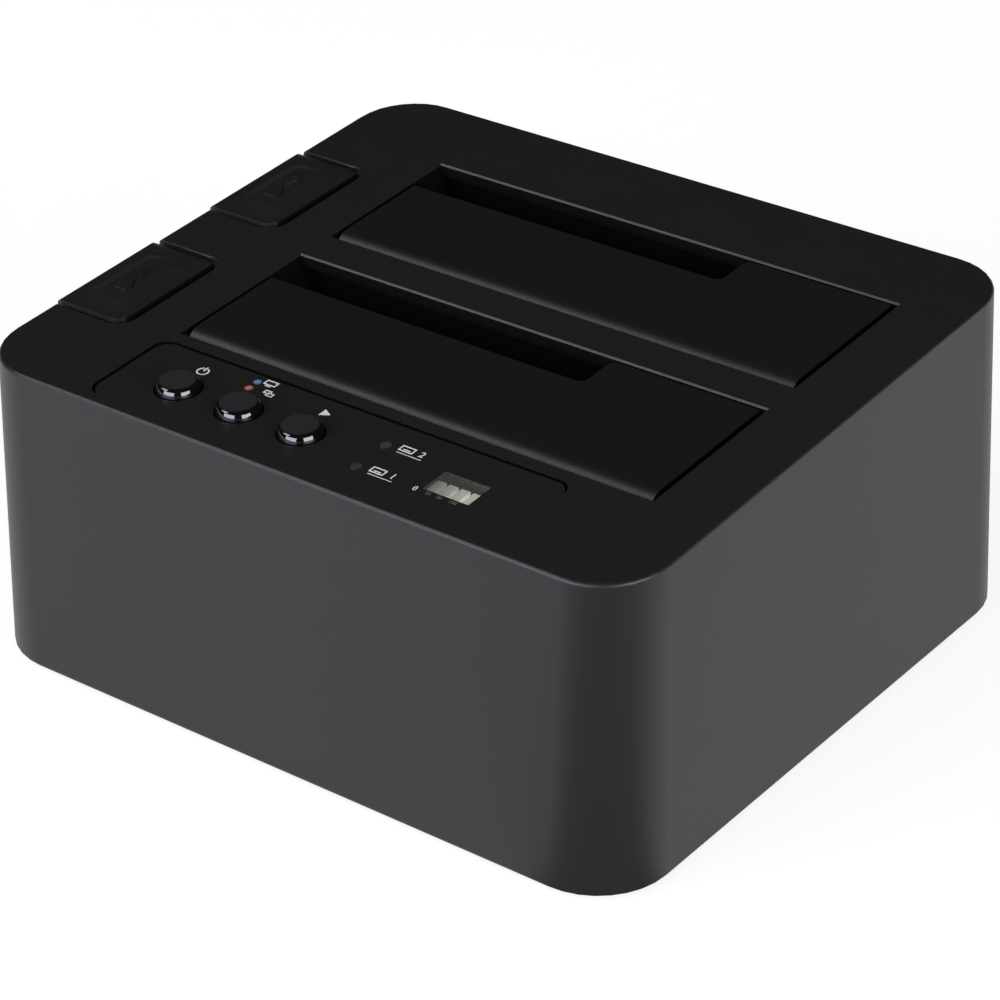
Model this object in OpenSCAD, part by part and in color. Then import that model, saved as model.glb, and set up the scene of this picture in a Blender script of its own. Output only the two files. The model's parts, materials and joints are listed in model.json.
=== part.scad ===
// Two-bay hard drive docking station: sloped case, sprung flaps, eject buttons, control panel and board.
// Millimetres. Origin under the middle of the feet, X to the right, front towards -Y, Z up.

/* [Case] */
// Width of the case at the foot of its walls
case_w = 146; // [144:1:156]
// Depth of the case at the foot of its walls
case_d = 132; // [130:1:144]
// Height of the top over the foot of the walls, halfway back
case_h = 63.8; // [61:0.2:76]
// Slope of the top, rising to the rear, in degrees
top_slope = 3.4; // [2:0.1:4.5]
// Lean of the left and right walls, in degrees
side_lean = 0.9; // [0.4:0.1:1.5]
// Lean of the front wall, in degrees
front_lean = 2.5; // [1:0.1:4]
// Lean of the rear wall, in degrees
rear_lean = 4; // [1:0.1:5]
// Radius of the upright corners at the top
corner_r = 12.6; // [10:0.1:14]
// Radius of the upright corners at the foot
foot_corner_r = 14.4; // [12:0.1:16]
// Rounding of the top edge
edge_r = 0.8; // [0.5:0.1:1.8]
// Rounding of the bottom edge
foot_edge_r = 0.8; // [0.4:0.1:1.2]
// Thickness of the case walls and top
wall = 2.4; // [2.2:0.1:3]
// Chamfer round the openings in the top
opening_chamfer = 0.3; // [0.2:0.05:0.8]

/* [Base and feet] */
// Thickness of the base plate
base_t = 2.2; // [2:0.1:3]
// Gap between the base plate and the walls
base_gap = 0.3; // [0.25:0.05:0.6]
// Diameter of a rubber foot
foot_d = 12; // [8:0.5:14]
// Height that a foot stands below the case
foot_h = 0.8; // [0.5:0.1:2]
// Depth that a foot is sunk into the base plate
foot_sink = 0.7; // [0.4:0.1:1]
// Distance of a foot from the side of the case
foot_inset = 23; // [22:1:30]
// Distance of a case screw from the side of the case
boss_inset_x = 11; // [10:0.5:12]
// Distance of a case screw from the front or rear of the case
boss_inset_y = 14; // [13:0.5:16]
// Diameter of a screw boss
boss_d = 8; // [6.5:0.5:8]
// Diameter of a case screw
case_screw_d = 2.9; // [2.5:0.1:3.5]
// Length of a case screw under its head
case_screw_l = 10; // [8:1:14]

/* [Drive bays] */
// Length of a bay, for a drive 101.6 wide
bay_w = 104; // [103:0.5:107]
// Depth of a bay opening, for a drive 26.1 thick and the folded flap
bay_d = 34.2; // [33.6:0.1:35]
// Middle of the bays, to the right of the middle of the case
bay_x = 6.9; // [6:0.1:8]
// Distance from the front edge of the top to the first bay
bay_start = 26.9; // [26:0.1:28]
// Distance from one bay to the next
bay_pitch = 42.8; // [42.5:0.1:44]
// Height of the bay floor over the table
bay_floor_z = 20; // [19.5:0.5:22]
// Thickness of the bay floor
bay_floor_t = 2; // [1.6:0.1:2.2]
// Thickness of the bay walls
liner_t = 1.8; // [1.4:0.1:1.8]
// Room behind the opening for the flap's stop lip
stop_room = 2; // [1.9:0.1:2.2]

/* [Flaps] */
// Thickness of a flap
flap_t = 2.2; // [1.8:0.1:2.4]
// Depth of a flap's face below the top
flap_sink = 0.1; // [0.1:0.1:1.8]
// Gap round a flap
flap_gap = 0.5; // [0.3:0.05:0.6]
// Gap at each end of a flap
flap_side_gap = 0.9; // [0.4:0.05:1]
// Radius of the rolled front edge
roll_r = 3.2; // [3:0.1:3.4]
// Width of the notch that takes a narrow drive
slot_w = 72; // [71:0.5:74]
// Depth of that notch
slot_d = 9.6; // [9.6:0.1:10.5]
// Rounding of the notch's corners
slot_r = 1.5; // [0.6:0.1:2]
// Diameter of the hinge pin
hinge_pin_d = 1.2; // [1:0.1:1.6]
// Reach of the stop lip under the top
lip = 1.2; // [0.8:0.1:1.2]
// Turns of a flap spring
flap_spring_turns = 6; // [4:1:7]

/* [Eject buttons] */
// Width of an eject button, from the left edge of the top
eject_w = 15.8; // [15:0.1:16.4]
// Length of an eject button
eject_d = 27.4; // [26:0.1:28]
// Distance from the middle of a bay forward to the middle of its button
eject_fore = 7; // [6:0.1:8]
// Rounding of a button's inner corners
eject_r = 3; // [2:0.1:4]
// Height of a button over the top
eject_proud = 0.5; // [0.3:0.1:0.9]
// Radius that rounds off a button's rear edge
eject_round = 4.5; // [3.5:0.1:8]
// Gap round a button
eject_gap = 0.7; // [0.25:0.05:0.8]
// Travel of a button
eject_travel = 5; // [4:0.5:5]
// Radius of the button's stem
stem_r = 3; // [2.5:0.1:3]
// Turns of an eject spring
eject_spring_turns = 8; // [6:1:10]

/* [Control panel] */
// Width of the panel
panel_w = 90.6; // [90:0.1:94]
// Depth of the panel
panel_d = 20.4; // [19.2:0.1:21]
// Distance from the front edge of the top to the panel
panel_margin = 2.6; // [2.2:0.1:2.7]
// Thickness of the panel
panel_t = 1.5; // [1.2:0.1:1.6]
// Groove along the panel's rear and left sides
groove = 0.8; // [0.3:0.05:0.9]
// Diameter of a round button
button_d = 8.4; // [7:0.1:8.6]
// Height of a round button over the panel
button_proud = 1.8; // [1.4:0.1:3.5]
// Travel of a round button
button_travel = 0.6; // [0.3:0.1:0.8]
// Distance between the round buttons
button_pitch = 14; // [13.8:0.1:15]
// Place of the first round button
button_x = -32.2; // [-32.6:0.1:-31]
// Width of the progress window
window_w = 9.6; // [9:0.1:11]
// Depth of the progress window
window_d = 6.3; // [6:0.1:7]

/* [Electronics] */
// Thickness of a circuit board
board_t = 1.6; // [1.2:0.1:1.6]
// Height of the main board over the base plate
board_lift = 5; // [4.5:0.5:5.5]
// Width of the upper part of a drive socket
sata_w = 43; // [42:0.5:44]
// Depth of the upper part of a drive socket
sata_d = 6.4; // [6:0.1:6.6]
// Height of a drive socket over the bay floor
sata_rise = 6; // [5:0.5:6.5]
// Distance of a drive socket from the rear edge of its bay
sata_back = 4.5; // [4.2:0.1:5]
// Distance of a drive socket from the middle of its bay
sata_shift = 20.7; // [20:0.1:21.5]

/* [Hidden] */
$fn = 48;
far = 300;
eps = 0.01;
fine = 32;

// Clearances that more than one piece shares
seat_gap = 0.05;
run_gap = 0.05;
part_gap = 0.3;
screw_gap = 0.1;
screw_floor = 0.8;
cut_over = 1;

// The top: its plane, and where the walls meet it
top_z = foot_h + case_h;
slope = tan(top_slope);
front_tan = tan(front_lean);
rear_tan = tan(rear_lean);
side_tan = tan(side_lean);
top_half_w = case_w / 2 - case_h * side_tan;
top_front_y = (-case_d / 2 + case_h * front_tan) / (1 - slope * front_tan);
top_rear_y = (case_d / 2 - case_h * rear_tan) / (1 + slope * rear_tan);
base_top = foot_h + base_t;

// Height of the top over a point, and the distance up the slope to it
function top_at(y) = top_z + y * slope;
function along(y) = y / cos(top_slope);

// A point of the sloped frame, given by its distance up the slope and its height over the top, as Y and Z
function level(v, w) = [
    v * cos(top_slope) - w * sin(top_slope),
    top_z + v * sin(top_slope) + w * cos(top_slope)
];

// Places of the bays
bay_fronts = [top_front_y + bay_start, top_front_y + bay_start + bay_pitch];
bay_left = bay_x - bay_w / 2;
bay_right = bay_x + bay_w / 2;
liner_left = bay_left - liner_t;
liner_right = bay_right + liner_t;
function bay_mid(i) = bay_fronts[i] + bay_d / 2;
function bay_rear(i) = bay_fronts[i] + bay_d;

// The bridge between the bays, shared by the two liner walls that face each other
bridge = bay_pitch - bay_d;
bridge_gap = 0.6;
bridge_wall = min(liner_t, (bridge - stop_room - bridge_gap) / 2);
front_walls = [liner_t, bridge_wall];
rear_walls = [bridge_wall, liner_t];
function liner_front(i) = bay_fronts[i] - front_walls[i];
function liner_rear(i) = bay_rear(i) + stop_room + rear_walls[i];

// Ears that carry a liner on the base plate's posts
ear_l = 6;
ear_w = 8;
post_d = 5.6;
ear_out = 3;
ear_back = 13;
liner_screw_d = 2.4;
liner_screw_head_d = 4.4;
liner_screw_head_h = 1.5;
liner_screw_l = 8;
ear_reach = case_w / 2 - (bay_floor_z - foot_h) * side_tan - wall - part_gap - ear_l / 2;
function ears(i) = [
    [max(liner_left - ear_out, -ear_reach), bay_mid(i) + ear_back],
    [min(liner_right + ear_out, ear_reach), bay_mid(i)]
];

// Hinge of a flap, in the sloped frame
function hinge_v(i) = along(bay_fronts[i]) + flap_gap + roll_r;
hinge_w = -flap_sink - roll_r;
lean_room = 0.25;
flap_len = along(bay_d) - 2 * flap_gap - lean_room - roll_r;
flap_under = roll_r - flap_t;
lip_gap = 0.15;
lip_top = -hinge_w - wall - lip_gap;
lip_side = 2;
lip_t = 1.2;
rib_t = 1.4;
rib_h = 1.5;
rib_from = 3;
rib_to = 19;
rib_count = 5;

// Spring of a flap, wound round the hinge pin
flap_wire = 0.5;
flap_coil_r = 1.6;
flap_coil_pitch = 0.95;
flap_spring_x = 30;
flap_leg = 7;
pad_l = 3;
pad_w = 2;
wall_leg = 1.2;
window_room = 3;
flap_window = flap_spring_turns * flap_coil_pitch + window_room;
coil_room = 0.3;

// Eject mechanism: button, stem, lever and bracket
eject_x = eject_w - top_half_w;
cap_t = 2.5;
skirt_t = 1.6;
skirt_h = 9;
outer_skirt_t = 1.9;
shutter_in = 2.9;
shutter_t = 1.2;
shutter_over = 3;
pad_inset = 3;
pad_h = 0.35;
stem_in = 6.6;
stem_x = eject_x - stem_in;
pivot_gap = 5.1;
pivot_x = liner_left - pivot_gap;
pivot_h = 10.5;
pivot_z = base_top + pivot_h;
lever_w = 8;
lever_up = 2;
lever_down = 2;
lever_thin = 0.4;
lever_tail = 3;
hub_r = 3.2;
lever_pin_d = 2;
finger_t = 4;
finger_in = 7.1;
finger_x = bay_left + finger_in;
finger_room = 1.4;
leg_t = 2.5;
leg_gap = 0.4;
shelf_h = 33;
shelf_z = base_top + shelf_h;
shelf_t = 3;
bracket_left = 5;
bracket_right = 3.2;
flange_l = 6;
flange_t = 2;
flange_x = 4;
bracket_screw_d = 2.4;
bracket_screw_head_d = 4.2;
bracket_screw_head_h = 1.4;
bracket_screw_l = 3.8;
eject_wire = 0.7;
eject_coil_r = 4.2;
leg_in = lever_w / 2 + leg_gap;
leg_out = leg_in + leg_t;
flange_screw_x = stem_x + flange_x;
flange_screw_y = leg_out + flange_l / 2 + part_gap;
function eject_y(i) = bay_mid(i) - eject_fore;
function cap_low(i) = top_at(eject_y(i)) - skirt_h;
function cap_under(i) = top_at(eject_y(i) - eject_coil_r - eject_wire) - cap_t / cos(top_slope);

// Control panel, in the sloped frame
panel_front = along(top_front_y) + panel_margin;
panel_r = 3;
tight_groove = 0.02;
button_in = 9.2;
button_v = panel_front + button_in;
buttons = [for (k = [0:2]) button_x + k * button_pitch];
button_room = 0.25;
button_edge = 0.2;
button_taper = 0.5;
button_foot = 0.2;
button_flange_r = 5.6;
button_flange_t = 1.3;
button_lift = 0.3;
stalk_r = 1.5;
stalk_l = 1.6;
mode_led_left = 3.5;
mode_led_x = buttons[1] - mode_led_left;
mode_led_in = 16;
mode_led_apart = 2.4;
mode_led_v = [panel_front + mode_led_in + mode_led_apart, panel_front + mode_led_in];
mode_led_d = 1.8;
drive_led_x = 10.6;
drive_led_in = 6.1;
drive_led_apart = 8;
drive_led_v = [panel_front + drive_led_in, panel_front + drive_led_in + drive_led_apart];
drive_led_d = 2.4;
window_x = 29.2;
window_in = 9.8;
window_v = panel_front + window_in;
window_t = 0.5;
bar_count = 4;
bar_w = 1.85;
bar_gap = 0.65;
bar_d = 3.6;
bar_front = 0.5;

// Button board, hung under the top
board_w = 88;
board_d = 17.2;
board_in = 9.8;
board_mid_v = panel_front + board_in;
switch_s = 6;
switch_h = 3.5;
switch_well_r = 1.8;
switch_well = 1.3;
stalk_in = 0.3;
board_drop = wall + button_lift + button_flange_t + stalk_l - stalk_in + switch_h;
hanger_d = 4.8;
hanger_x = 41;
hanger_v = 6;
hanger_screw_d = 1.7;
hanger_screw_head_d = 3.4;
hanger_screw_head_h = 1.1;
hanger_screw_l = 5;
led_s = 1.6;
led_h = 0.8;
pipe_gap = 0.2;

// Cable from the button board to the main board
cable_x = 18;
cable_w = 12;
cable_t = 0.9;
header_w = 14;
header_d = 5;
header_h = 4.4;
header_fore = 2;
header_v = board_mid_v - header_fore;
header_point = level(header_v, -board_drop - board_t - header_h);

// Main board
board_left_in = 5.1;
board_boss_gap = 2;
board_left = bay_left + board_left_in;
board_right = case_w / 2 - boss_inset_x - boss_d / 2 - board_boss_gap;
board_z = base_top + board_lift;
board_top = board_z + board_t;
board_front_gap = 6.6;
board_rear_gap = 3.6;
board_front = -case_d / 2 + wall + board_front_gap;
board_rear = case_d / 2 - wall - board_rear_gap;
standoff_d = 6;
standoff_in = 4;
board_screw_d = 2.4;
board_screw_head_d = 4.6;
board_screw_head_h = 1.6;
board_screw_l = 5;
standoffs = [
    for (x = [board_left + standoff_in, board_right - standoff_in])
        for (y = [board_front + standoff_in, board_rear - standoff_in]) [x, y]
];

// Drive sockets
sata_x = bay_x - sata_shift;
sata_flange = 2;
sata_shoulder = bay_floor_z - bay_floor_t - part_gap;
sata_top = bay_floor_z + sata_rise;
sata_gap = 0.4;
key_d = 2.6;
key_deep = 5;
power_key_w = 21;
signal_key_w = 11;
key_apart = 4;
function sata_y(i) = bay_rear(i) - sata_back;

// Sockets in the rear wall
port_set = 1.2;
port_gap = 0.3;
port_mid_h = 6;
port_front = case_d / 2 - (board_top + port_mid_h) * rear_tan - port_set;
shell_t = 0.8;

// A socket stands behind the rear bay where there is room, or else goes under its floor
port_room = port_front - liner_rear(1) - part_gap;
under_bay = bay_floor_z - bay_floor_t - part_gap - board_top;
socket_rear = sata_y(1) + (sata_d + sata_flange) / 2;
function port_height(l, h) = l > port_room ? min(h, under_bay) : h;
usb_in = 36;
usb_x = board_right - usb_in;
usb_l = 16;
usb_w = 12;
usb_h = 10.6;
usb_size = [usb_w, usb_l, port_height(usb_l, usb_h)];
usb_tongue = [5.6, 3.2];
esata_in = 60;
esata_x = board_right - esata_in;
esata_l = 13;
esata_w = 15;
esata_h = 5.8;
esata_deep = min(esata_l, port_front - socket_rear - part_gap);
esata_size = [esata_w, esata_deep, port_height(esata_l, esata_h)];
esata_tongue = [9.6, 1.6];
jack_in = 13;
jack_x = board_right - jack_in;
jack_l = 14;
jack_w = 9.2;
jack_h = 11;
jack_size = [jack_w, jack_l, port_height(jack_l, jack_h)];
jack_r = 3.2;
jack_pin_r = 1;
jack_deep = 9.5;
jack_pin_in = 1;
port_deep = 9;
ports = [[usb_x, usb_size], [esata_x, esata_size], [jack_x, jack_size]];

// Parts on the main board: chips from its left and front edges, cans from its right and rear edges
chip_list = [[60, 35, 14, 1.6], [32, 75, 12, 1.4], [78, 71, 9, 1.2], [14, 27, 6, 1.2]];
chips = [for (c = chip_list) [board_left + c[0], board_front + c[1], c[2], c[3]]];
can_in = [25, 47.5, 75, 84];
can_back = 9;
can_r = 3.15;
can_y = max(board_rear - can_back, socket_rear + part_gap + can_r);
cans = [for (x = can_in) [board_right - x, can_y]];
can_h = 7.6;

// Colours
black = "#212122";
dark = "#1a1a1b";
rubber = "#141414";
steel = "#b9bcc0";
green = "#1d5b3a";
smoke = "#3c3e3c";

// Places at the four case screws and at the four feet
screw_spots = [
    for (x = [-1, 1]) for (y = [-1, 1]) [x * (case_w / 2 - boss_inset_x), y * (case_d / 2 - boss_inset_y)]
];
foot_spots = [
    for (x = [-1, 1]) for (y = [-1, 1]) [x * (case_w / 2 - foot_inset), y * (case_d / 2 - foot_inset)]
];

// Shared shapes

// The frame of the sloped top: X across, Y up the slope, Z out of the top
module on_top() {
    translate([0, 0, top_z]) rotate([top_slope, 0, 0]) children();
}

// The frame of one flap's hinge
module on_hinge(i) {
    on_top() translate([bay_x, hinge_v(i), hinge_w]) children();
}

// A rectangle with round corners
module round_rect(w, d, r) {
    square([w - 2 * r, d], center = true);
    square([w, d - 2 * r], center = true);
    for (x = [-1, 1]) for (y = [-1, 1]) translate([x * (w / 2 - r), y * (d / 2 - r)]) circle(r);
}

// A ring whose hull gives a rounded edge
module edge_ring(r, e) {
    rotate_extrude($fn = fine) translate([r - e, 0]) circle(e, $fn = fine / 2);
}

// The form of the case, drawn in by an inset, its top raised or lowered
module case_form(inset, rise, low, top_edge, low_edge) {
    hull() {
        for (x = [-1, 1]) {
            for (v = [along(top_front_y) + corner_r, along(top_rear_y) - corner_r])
                on_top() translate([x * (top_half_w - corner_r), v, rise - top_edge])
                    edge_ring(corner_r - inset, top_edge);
            for (y = [-1, 1])
                translate([x * (case_w / 2 - foot_corner_r), y * (case_d / 2 - foot_corner_r), low + low_edge])
                    edge_ring(foot_corner_r - inset, low_edge);
        }
    }
}

// A screw along Z, its head's underside at zero and its shank below
module screw(d, l, head_d, head_h) {
    cylinder(d = head_d, h = head_h);
    translate([0, 0, -l]) cylinder(d = d, h = l + eps);
}

// A spring wound round X: a straight leg behind, turns, and a straight leg ahead, all at the bottom of the coil
steps = 8;
sides = 6;
function spring_path(r, pitch, turns, rear_leg, front_leg) = concat(
    [if (rear_leg > 0) [[0, rear_leg, -r], [0, 0, -1]]],
    [
        for (k = [0:steps * turns])
            let (a = 360 * k / steps)
            [[pitch * k / steps, -r * sin(a), -r * cos(a)], [0, -sin(a), -cos(a)]]
    ],
    [if (front_leg > 0) [[pitch * turns, -front_leg, -r], [0, 0, -1]]]
);
function spring_gap(path, wire) = min([
    for (k = [1:len(path) - steps - 2]) norm(path[k + steps][0] - path[k][0])
]) - wire;

module spring(r, wire, pitch, turns, rear_leg, front_leg) {
    path = spring_path(r, pitch, turns, rear_leg, front_leg);
    last = len(path) - 1;
    echo(str("least gap between turns ", spring_gap(path, wire)));
    points = [
        for (p = path) for (s = [0:sides - 1])
            let (a = 360 * s / sides)
            p[0] + wire / 2 * (cos(a) * p[1] + sin(a) * [1, 0, 0])
    ];
    skin = [
        for (k = [0:last - 1]) for (s = [0:sides - 1])
            let (a = k * sides + s, b = k * sides + (s + 1) % sides)
            each [[a, b, b + sides], [a, b + sides, a + sides]]
    ];
    start_cap = [for (s = [1:sides - 2]) [0, s + 1, s]];
    end_cap = [for (s = [1:sides - 2]) [last * sides, last * sides + s, last * sides + s + 1]];
    polyhedron(points, concat(skin, start_cap, end_cap));
}

// Case

// A bay opening, with a funnel that chamfers its four edges
module bay_opening(i) {
    translate([bay_left, bay_fronts[i], 0]) cube([bay_w, bay_d, far]);
    on_top() translate([bay_x, along(bay_mid(i)), 0]) hull()
        for (k = [-1, 2])
            translate([0, 0, (k - 1) * opening_chamfer])
                linear_extrude(eps) square([bay_w, along(bay_d)] + 2 * k * opening_chamfer * [1, 1], center = true);
}

// Plan of an eject button, grown by a gap, running out past the left wall
module eject_plan(i, grow) {
    over = eject_w + 2 * eject_r;
    translate([eject_x - over / 2, eject_y(i)])
        round_rect(over + 2 * grow, eject_d + 2 * grow, eject_r + grow);
}

// Plan of the panel's pocket: the groove shows at the rear and left
module pocket_plan() {
    translate([(tight_groove - groove) / 2, panel_front + (panel_d + groove - tight_groove) / 2])
        round_rect(panel_w + groove + tight_groove, panel_d + groove + tight_groove, panel_r);
}

module panel_holes(button_hole_r, gap) {
    for (x = buttons) translate([x, button_v]) circle(button_hole_r);
    for (v = mode_led_v) translate([mode_led_x, v]) circle(d = mode_led_d + 2 * gap);
    for (v = drive_led_v) translate([drive_led_x, v]) circle(d = drive_led_d + 2 * gap);
}

module top_cover() {
    color(black) difference() {
        union() {
            difference() {
                case_form(0, 0, foot_h, edge_r, foot_edge_r);
                case_form(wall, -wall, foot_h - cut_over, foot_edge_r, foot_edge_r / 2);
            }
            for (s = screw_spots)
                translate([s[0], s[1], base_top])
                    cylinder(d = boss_d, h = top_at(s[1]) - wall / 2 - base_top);
            on_top() for (x = [-1, 1]) for (v = [-1, 1])
                translate([x * hanger_x, board_mid_v + v * hanger_v, -board_drop])
                    cylinder(d = hanger_d, h = board_drop - wall / 2 - panel_t / 2);
        }
        for (i = [0, 1]) {
            bay_opening(i);
            translate([0, 0, cap_low(i) - eject_travel - part_gap])
                linear_extrude(far) eject_plan(i, eject_gap);
        }
        on_top() {
            translate([0, 0, -panel_t]) linear_extrude(far) pocket_plan();
            translate([0, 0, -wall - cut_over]) linear_extrude(far) {
                panel_holes(button_d / 2 + button_room, seat_gap);
                translate([window_x, window_v]) square([window_w, window_d], center = true);
            }
            for (x = [-1, 1]) for (v = [-1, 1])
                translate([x * hanger_x, board_mid_v + v * hanger_v, -board_drop - eps])
                    cylinder(d = hanger_screw_d + screw_gap, h = hanger_screw_l);
        }
        for (s = screw_spots)
            translate([s[0], s[1], base_top - eps]) cylinder(d = case_screw_d + screw_gap, h = case_screw_l);
        for (p = ports)
            translate([p[0] - p[1][0] / 2 - port_gap, port_front - 2 * wall, board_top - port_gap])
                cube([p[1][0] + 2 * port_gap, far, p[1][2] + 2 * port_gap]);
    }
}

module base_plate() {
    screw_sink = base_t - screw_floor;
    color(dark) difference() {
        union() {
            translate([0, 0, foot_h]) linear_extrude(base_t)
                round_rect(
                    case_w - 2 * (wall + base_gap), case_d - 2 * (wall + base_gap),
                    foot_corner_r - wall - base_gap
                );
            for (s = standoffs)
                translate([s[0], s[1], base_top - eps]) cylinder(d = standoff_d, h = board_lift + eps);
            for (i = [0, 1]) for (e = ears(i))
                translate([e[0], e[1], base_top - eps])
                    cylinder(d = post_d, h = bay_floor_z - bay_floor_t - base_top + eps);
        }
        for (s = screw_spots) translate([s[0], s[1], 0]) {
            cylinder(d = case_screw_d + 2 * part_gap, h = far);
            cylinder(d = 2 * case_screw_d + screw_gap, h = foot_h + screw_sink);
        }
        for (f = foot_spots)
            translate([f[0], f[1], 0]) cylinder(d = foot_d + screw_gap, h = foot_h + foot_sink);
        for (s = standoffs)
            translate([s[0], s[1], board_z - board_screw_l]) cylinder(d = board_screw_d + screw_gap, h = far);
        for (i = [0, 1]) for (e = ears(i))
            translate([e[0], e[1], bay_floor_z - liner_screw_l - bay_floor_t])
                cylinder(d = liner_screw_d + screw_gap, h = far);
        for (i = [0, 1]) for (y = [-1, 1])
            translate([flange_screw_x, eject_y(i) + y * flange_screw_y, base_top + flange_t - bracket_screw_l - eps])
                cylinder(d = bracket_screw_d + screw_gap, h = far);
    }
}

module rubber_feet() {
    color(rubber) for (f = foot_spots)
        translate([f[0], f[1], 0]) cylinder(d = foot_d, h = foot_h + foot_sink);
}

module case_screws() {
    screw_sink = base_t - screw_floor;
    color(steel) for (s = screw_spots)
        translate([s[0], s[1], foot_h + screw_sink]) rotate([180, 0, 0])
            screw(case_screw_d, case_screw_l, 2 * case_screw_d, screw_sink);
}

// Drive bays

module bay_liner(i) {
    low = bay_floor_z - bay_floor_t;
    color(dark) difference() {
        union() {
            translate([liner_left, liner_front(i), low])
                cube([bay_w + 2 * liner_t, liner_rear(i) - liner_front(i), case_h]);
            for (e = ears(i))
                translate([e[0] - ear_l / 2, e[1] - ear_w / 2, low]) cube([ear_l, ear_w, bay_floor_t]);
        }
        translate([bay_left, bay_fronts[i], bay_floor_z]) cube([bay_w, bay_d + stop_room, far]);
        on_top() translate([-far / 2, -far / 2, -wall - seat_gap]) cube(far);
        translate([sata_x, sata_y(i), bay_floor_z])
            cube([sata_w + 2 * sata_gap, sata_d + 2 * sata_gap, far], center = true);
        translate([bay_left, eject_y(i) - lever_w / 2 - finger_room, low - eps])
            cube([finger_x + finger_t / 2 + finger_room - bay_left, lever_w + 2 * finger_room, bay_floor_t + 2 * eps]);
        on_hinge(i) {
            rotate([0, 90, 0]) cylinder(d = hinge_pin_d + seat_gap, h = far, center = true);
            translate([flap_spring_x + flap_spring_turns * flap_coil_pitch, 0, -flap_coil_r])
                rotate([90, 0, 0]) cylinder(r = flap_wire / 2 + screw_gap, h = 2 * roll_r + wall_leg);
        }
        for (e = ears(i)) {
            translate([e[0], e[1], 0]) cylinder(d = liner_screw_d + screw_gap, h = far);
            translate([e[0], e[1], bay_floor_z]) cylinder(d = liner_screw_head_d + 2 * screw_gap, h = far);
        }
    }
}

module front_bay_liner() { bay_liner(0); }
module rear_bay_liner() { bay_liner(1); }

module liner_screws() {
    color(steel) for (i = [0, 1]) for (e = ears(i))
        translate([e[0], e[1], bay_floor_z])
            screw(liner_screw_d, liner_screw_l, liner_screw_head_d, liner_screw_head_h);
}

// Plan of a flap from its hinge line back, with the notch for a narrow drive
module flap_plan(i) {
    half = bay_w / 2 - flap_side_gap;
    notch_x = slot_w - bay_w / 2;
    notch_y = along(bay_rear(i) - slot_d) - hinge_v(i);
    difference() {
        translate([-half, 0]) square([2 * half, flap_len]);
        translate([notch_x - far / 2, notch_y + far / 2]) round_rect(far, far, slot_r);
        translate([notch_x, flap_len - slot_r]) difference() {
            square(slot_r);
            translate([slot_r, 0]) circle(slot_r);
        }
    }
}

module flap(i) {
    half = bay_w / 2 - flap_side_gap;
    lip_from = slot_w - bay_w / 2 + slot_r + lip_side;
    color(black) on_hinge(i) difference() {
        union() {
            translate([0, 0, flap_under]) linear_extrude(flap_t) flap_plan(i);
            rotate([0, 90, 0]) cylinder(r = roll_r, h = 2 * half, center = true);
            translate([lip_from, flap_len - roll_r, lip_top - lip_t]) {
                cube([half - lip_side - lip_from, roll_r + flap_gap + lip, lip_t]);
                cube([half - lip_side - lip_from, roll_r, max(lip_t, flap_under - lip_top + lip_t + eps)]);
            }
            for (k = [0:rib_count - 1])
                translate([(k / (rib_count - 1) - 0.5) * (2 * half - 4 * rib_t) - rib_t / 2, rib_from, flap_under - rib_h])
                    cube([rib_t, rib_to - rib_from, rib_h + eps]);
            translate([flap_spring_x - pad_w / 2, flap_leg - pad_l, -flap_coil_r + flap_wire / 2 + seat_gap])
                cube([pad_w, pad_l, flap_under + flap_coil_r - flap_wire / 2 - seat_gap + eps]);
        }
        rotate([0, 90, 0]) cylinder(d = hinge_pin_d + 2 * run_gap, h = far, center = true);
        translate([flap_spring_x - (flap_window - flap_spring_turns * flap_coil_pitch) / 2, 0, 0]) {
            rotate([0, 90, 0]) cylinder(r = flap_coil_r + flap_wire / 2 + coil_room, h = flap_window);
            translate([0, -2 * roll_r, flap_under - 2 * roll_r])
                cube([flap_window, 2 * roll_r + rib_from, 2 * roll_r - rib_h - eps]);
            translate([0, -2 * roll_r, flap_under - 2 * roll_r]) cube([flap_window, 2 * roll_r, 2 * roll_r]);
        }
    }
}

module front_flap() { flap(0); }
module rear_flap() { flap(1); }

module flap_pin(i) {
    color(steel) on_hinge(i) rotate([0, 90, 0])
        cylinder(d = hinge_pin_d, h = bay_w + 2 * liner_t, center = true);
}

module front_flap_pin() { flap_pin(0); }
module rear_flap_pin() { flap_pin(1); }

module flap_spring(i) {
    color(steel) on_hinge(i) translate([flap_spring_x, 0, 0])
        spring(flap_coil_r, flap_wire, flap_coil_pitch, flap_spring_turns, flap_leg, roll_r + flap_gap + wall_leg);
}

module front_flap_spring() { flap_spring(0); }
module rear_flap_spring() { flap_spring(1); }

// Eject buttons and their levers

// What is cut off a button's rear edge to round it
module eject_fall(i) {
    fall = [-far / 2, along(eject_y(i) + eject_d / 2) - pad_inset, eject_proud - eject_round];
    on_top() translate(fall) difference() {
        cube([far, 2 * pad_inset, far]);
        rotate([0, 90, 0]) cylinder(r = eject_round, h = far);
    }
}

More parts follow.
